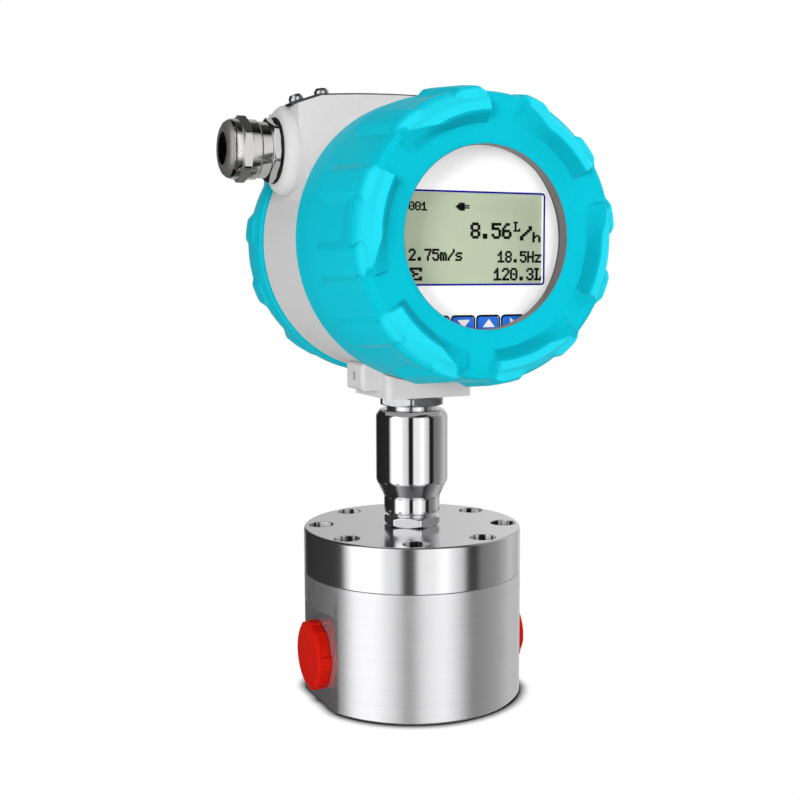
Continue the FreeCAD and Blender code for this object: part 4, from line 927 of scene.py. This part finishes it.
class Zone(Enum):
    """Part of a steel piece that has a finish of its own."""

    BORES = "walls of the upright holes"
    FLATS = "flats round the ports"
    FRONT = "front of the gland nut"

    def covers(self, centre: np.ndarray, normal: np.ndarray) -> np.ndarray:
        """Tell which faces lie in the zone.

        Args:
            centre: middles of the faces in millimetres.
            normal: normals of the faces.

        Returns:
            True for each face in the zone.
        """
        if self is Zone.BORES:
            return (np.abs(normal[:, 2]) < 0.1) & (np.hypot(centre[:, 0], centre[:, 1]) < COVER_RIM)
        if self is Zone.FRONT:
            return normal[:, 0] < -0.6
        return (np.abs(normal[:, 0]) > 0.999) & (np.abs(centre[:, 0]) > PORT_FLAT)


@dataclass
class SoftEdged:
    """A rigid CAD part with the small edge rounds that its making leaves.

    The part's own triangles are merged, flat faces are joined up, and each edge sharper than
    CRISP_ANGLE is rounded by width.
    """

    node: str
    width: float
    steps: int = 2
    finish: Finish | None = None
    turned: bool = False
    zone: Zone | None = None
    zone_finish: Finish | None = None
    entry_turn: float = 0.0

    def build(self) -> None:
        """Copy the node's surface, round its edges and let it stand for the node.

        A part that was screwed in further stands turned by entry_turn degrees about the cable entry.
        """
        source = frame["nodes"][self.node]
        slot = slot_of(self.node)
        points = read_all(source.data.vertices, "co", 3) / MM
        order = read_all(source.data.loops, "vertex_index", kind=int).reshape(-1, 3)
        turn = math.radians(self.entry_turn)
        spin = np.array([[math.cos(turn), math.sin(turn)], [-math.sin(turn), math.cos(turn)]])
        points[:, 1:] = (points[:, 1:] - ENTRY) @ spin + ENTRY
        piece = make_piece(f"{self.node}_dressed", points, order, body_of(self.node),
                           self.finish or SLOT_FINISHES[slot], slot, (self.node,))
        work = bmesh.new()
        work.from_mesh(piece.data)
        bmesh.ops.dissolve_limit(work, angle_limit=math.radians(0.3), verts=work.verts, edges=work.edges)
        work.to_mesh(piece.data)
        work.free()
        piece.data.set_sharp_from_angle(angle=math.radians(CRISP_ANGLE))
        if self.zone:
            self.mark_zone(piece.data)
        edge = piece.modifiers.new("edge_round", "BEVEL")
        edge.width = self.width * MM
        edge.segments = self.steps
        edge.angle_limit = math.radians(CRISP_ANGLE)
        edge.miter_outer = "MITER_ARC"
        if self.turned:
            self.true_wall(piece)
        else:
            even_light(piece)

    def true_wall(self, piece: bpy.types.Object) -> None:
        """Shade the turned wall as the true cylinder that its facets stand for.

        The edge rounds are fixed in the mesh. Each point then takes the normal of the largest face
        that meets there, and a point on the wall takes (x, y, 0) / radius.

        Args:
            piece: the piece with its edge rounds as a modifier.
        """
        graph = bpy.context.evaluated_depsgraph_get()
        mesh = bpy.data.meshes.new_from_object(piece.evaluated_get(graph))
        piece.modifiers.clear()
        piece.data = mesh
        count = read_all(mesh.polygons, "loop_total", kind=int)
        point = read_all(mesh.loops, "vertex_index", kind=int)
        face = np.repeat(np.arange(len(count)), count)
        order = np.argsort(read_all(mesh.polygons, "area")[face], kind="stable")
        owner = np.zeros(len(mesh.vertices), dtype=int)
        owner[point[order]] = face[order]
        shade = read_all(mesh.polygons, "normal", 3)[owner]
        flat = read_all(mesh.vertices, "co", 3) * np.array([1.0, 1.0, 0.0])
        radius = np.linalg.norm(flat, axis=1)
        outward = flat / np.maximum(radius, 1e-9)[:, None]
        on_wall = (radius > radius.max() - 0.05 * MM) & (np.sum(shade * outward, axis=1) > 0.97)
        shade = np.where(on_wall[:, None], outward, shade)
        mesh.normals_split_custom_set_from_vertices(shade.tolist())

    def mark_zone(self, mesh: bpy.types.Mesh) -> None:
        """Give the zone's faces their own finish.

        Args:
            mesh: the piece's mesh.
        """
        centre, normal = read_all(mesh.polygons, "center", 3), read_all(mesh.polygons, "normal", 3)
        inside = self.zone.covers(centre / MM, normal)
        mesh.materials.append(self.zone_finish.material())
        mesh.polygons.foreach_set("material_index", inside.astype(np.int32))


def dress_nodes(slots: dict[str, Finish]) -> None:
    """Give each CAD node the finish that its record slot names.

    Args:
        slots: finishes by slot name.
    """
    for name, node in frame["nodes"].items():
        for holder in node.material_slots:
            slot = holder.material.name.split(".")[0]
            holder.material = slots[slot].material()
            holder.material["slot"] = slot
        log.info("%s: dressed", name)


SOFT_EDGED: tuple[SoftEdged, ...] = (
    SoftEdged("chamber_body", 0.8, 3, BODY_STEEL, True, Zone.FLATS, FLAT_STEEL),
    SoftEdged("chamber_cover", 0.7, 3, None, False, Zone.BORES, BORE_STEEL), SoftEdged("cover_bolts", 0.2),
    SoftEdged("stem_fitting", 0.3), SoftEdged("stem_lock_nut", 0.3), SoftEdged("inlet_plug", 0.35),
    SoftEdged("outlet_plug", 0.35),
    SoftEdged("housing", 1.4, 4), SoftEdged("top_plate", 0.2), SoftEdged("top_plate_screws", 0.2),
    SoftEdged("gland_body", 0.25), SoftEdged("gland_gasket", 0.12),
    SoftEdged("gland_nut", 0.25, 2, None, False, Zone.FRONT, SATIN_PLATING, 30.0),
    SoftEdged("blanking_plug", 0.3), SoftEdged("neck_set_screw", 0.2),
)


@dataclass
class Studio:
    """Pale floor, soft boxes, a white surround with dark cards, and the camera.

    Lengths are in metres and angles in degrees. A card is an azimuth and its light, a band a height
    and its light, and a lamp its name, place, size and power in watts.
    """

    eye: Triple = (-0.2101, -0.4544, 0.1808)
    ahead: Triple = (0.40815, 0.90693, -0.10435)
    roll: float = -0.18
    lens: float = 51.93
    middle: Triple = (0.0, 0.0, 0.13)
    floor_reach: float = 6.0
    shade_reach: float = 0.006
    soft: float = 0.28
    cards: tuple[Point, ...] = (
        (-180.0, 1.3), (-148.0, 1.3), (-144.0, 0.98), (-128.0, 0.75), (-123.0, 0.015), (-112.5, 0.015),
        (-108.0, 0.95), (-92.0, 1.0), (-80.0, 1.35), (-74.0, 1.0), (-60.0, 0.6), (-55.0, 0.015),
        (-45.0, 0.015), (-38.0, 0.18), (-17.0, 0.26), (-4.0, 0.4), (10.0, 0.6), (30.0, 0.45), (48.0, 0.72),
        (60.0, 0.68), (70.0, 0.52), (82.0, 0.42), (90.0, 0.1), (97.0, 0.015), (167.0, 0.025), (175.0, 0.9),
        (180.0, 1.3),
    )
    bands: tuple[Point, ...] = (
        (-90.0, 0.1), (-52.0, 0.12), (-40.0, 0.6), (-32.0, 1.0), (45.0, 1.0), (54.0, 0.5), (62.0, 0.1),
        (90.0, 0.08),
    )
    lamps: tuple[tuple[str, Triple, float, float], ...] = (
        ("key_box", (-1.3, -1.05, 0.4), 0.6, 17.0), ("fill_box", (0.95, -0.75, 1.1), 0.6, 10.0),
        ("edge_box", (1.5, 0.15, 0.85), 0.5, 12.0),
        ("top_box", (0.1, 0.2, 1.7), 1.2, 5.0), ("front_box", (-0.15, -1.6, 0.45), 0.5, 3.5),
    )

    def surround(self) -> None:
        """Light the room evenly, white to the eye and to glass; metal also sees the dark cards.

        The cards are a ramp over the azimuth about the object, so each is a tall upright strip. A
        second ramp, over the height of the line of sight, darkens the ceiling and the table.
        """
        world = bpy.data.worlds.new("studio_surround")
        bpy.context.scene.world = world
        world.use_nodes = True
        tree = world.node_tree
        tree.nodes.clear()
        place = add_node(tree, "ShaderNodeTexCoord")
        azimuth = add_node(tree, "ShaderNodeTexGradient", {"gradient_type": "RADIAL"},
                           {"Vector": place.outputs["Generated"]})
        split = add_node(tree, "ShaderNodeSeparateXYZ", {}, {"Vector": place.outputs["Generated"]})
        height = add_node(tree, "ShaderNodeMapRange", {"From Min": -1.0}, {"Value": split.outputs["Z"]})
        round_about = [(turn / 360.0 + 0.5, light) for turn, light in self.cards]
        up_down = [(math.sin(math.radians(lift)) / 2 + 0.5, light) for lift, light in self.bands]
        ramps = []
        for source, stops in ((azimuth.outputs["Fac"], round_about), (height.outputs["Result"], up_down)):
            ramp = add_node(tree, "ShaderNodeValToRGB", {}, {"Fac": source})
            marks = ramp.color_ramp.elements
            marks[0].position, marks[1].position = stops[0][0], stops[-1][0]
            for at, _ in stops[1:-1]:
                marks.new(at)
            for mark, (_, light) in zip(marks, stops):
                mark.color = (light, light, light, 1.0)
            ramps.append(ramp.outputs["Color"])
        room = add_node(tree, "ShaderNodeMix", {"data_type": "RGBA", "blend_type": "MULTIPLY", 0: 1.0},
                        {6: ramps[0], 7: ramps[1]})
        path = add_node(tree, "ShaderNodeLightPath")
        mirrored = add_node(tree, "ShaderNodeMix", {"data_type": "RGBA", 6: (self.soft,) * 3 + (1.0,)},
                            {0: path.outputs["Is Glossy Ray"], 7: room.outputs[2]})
        seen = add_node(tree, "ShaderNodeMath", {"operation": "MAXIMUM"},
                        {0: path.outputs["Is Camera Ray"], 1: path.outputs["Is Transmission Ray"]})
        colour = add_node(tree, "ShaderNodeMix", {"data_type": "RGBA", 7: (1.0, 1.0, 1.0, 1.0)},
                          {0: seen.outputs["Value"], 6: mirrored.outputs[2]})
        light = add_node(tree, "ShaderNodeBackground", {"Strength": 1.0}, {"Color": colour.outputs[2]})
        add_node(tree, "ShaderNodeOutputWorld", {}, {"Surface": light.outputs["Background"]})

    def boxes(self) -> None:
        """Hang the soft boxes, each turned to the middle of the object."""
        for name, place, size, power in self.lamps:
            lamp = bpy.data.lights.new(name, "AREA")
            lamp.size = size
            lamp.energy = power
            holder = bpy.data.objects.new(name, lamp)
            holder.location = place
            aim = Vector(self.middle) - Vector(place)
            holder.rotation_euler = aim.to_track_quat("-Z", "Y").to_euler()
            holder.visible_glossy = False
            bpy.context.scene.collection.objects.link(holder)

    def floor(self) -> None:
        """Lay a white floor that darkens where the object shuts out the light.

        It lights the object from below as matt paper, and metal looks through it to the surround.
        """
        mesh = bpy.data.meshes.new("studio_floor")
        reach = self.floor_reach
        mesh.from_pydata([(-reach, -reach, 0), (reach, -reach, 0), (reach, reach, 0), (-reach, reach, 0)], [],
                         [(0, 1, 2, 3)])
        paper = bpy.data.materials.new("matt_white_paper")
        paper.use_nodes = True
        tree = paper.node_tree
        tree.nodes.clear()
        path = add_node(tree, "ShaderNodeLightPath")
        matt = add_node(tree, "ShaderNodeBsdfDiffuse", {"Color": linear("#f7f7f7")})
        clear = add_node(tree, "ShaderNodeBsdfTransparent")
        near = add_node(tree, "ShaderNodeAmbientOcclusion", {"samples": 16, "Distance": self.shade_reach})
        shade_tone = add_node(tree, "ShaderNodeMapRange", {"From Min": 0.52, "From Max": 0.95},
                        {"Value": near.outputs["AO"]})
        white = add_node(tree, "ShaderNodeEmission", {"Strength": 1.0}, {"Color": shade_tone.outputs["Result"]})
        seen = add_node(tree, "ShaderNodeMixShader", {},
                        {0: path.outputs["Is Camera Ray"], 1: matt.outputs["BSDF"],
                         2: white.outputs["Emission"]})
        both = add_node(tree, "ShaderNodeMixShader", {},
                        {0: path.outputs["Is Glossy Ray"], 1: seen.outputs["Shader"],
                         2: clear.outputs["BSDF"]})
        add_node(tree, "ShaderNodeOutputMaterial", {}, {"Surface": both.outputs["Shader"]})
        mesh.materials.append(paper)
        floor = bpy.data.objects.new("studio_floor", mesh)
        bpy.context.scene.collection.objects.link(floor)

    def camera(self) -> None:
        """Set the camera where the photograph was taken from."""
        lens = bpy.data.cameras.new("camera")
        lens.lens = self.lens
        lens.sensor_width = 36.0
        ahead = Vector(self.ahead).normalized()
        level = ahead.cross(Vector((0.0, 0.0, 1.0))).normalized()
        upright = level.cross(ahead)
        turn = math.radians(self.roll)
        right = math.cos(turn) * level + math.sin(turn) * upright
        up = -math.sin(turn) * level + math.cos(turn) * upright
        holder = bpy.data.objects.new("camera", lens)
        place = Matrix((right, up, -ahead)).transposed().to_4x4()
        place.translation = Vector(self.eye)
        holder.matrix_world = place
        bpy.context.scene.collection.objects.link(holder)
        bpy.context.scene.camera = holder

    def build(self) -> None:
        """Set up the whole studio with colours shown as they are."""
        bpy.context.scene.view_settings.view_transform = "Standard"
        self.surround()
        self.boxes()
        self.floor()
        self.camera()


def main() -> None:
    """Dress the flow meter piece by piece and set up its studio."""
    logging.basicConfig(level=logging.INFO, format="%(name)s: %(message)s")
    dress_nodes(SLOT_FINISHES)
    for part in (*SOFT_EDGED, *TURNED_PARTS):
        part.build()
    FRONT_COVER.build()
    REAR_COVER.build()
    DisplayPrint().build()
    Studio().build()


if __name__ == "__main__":
    main()
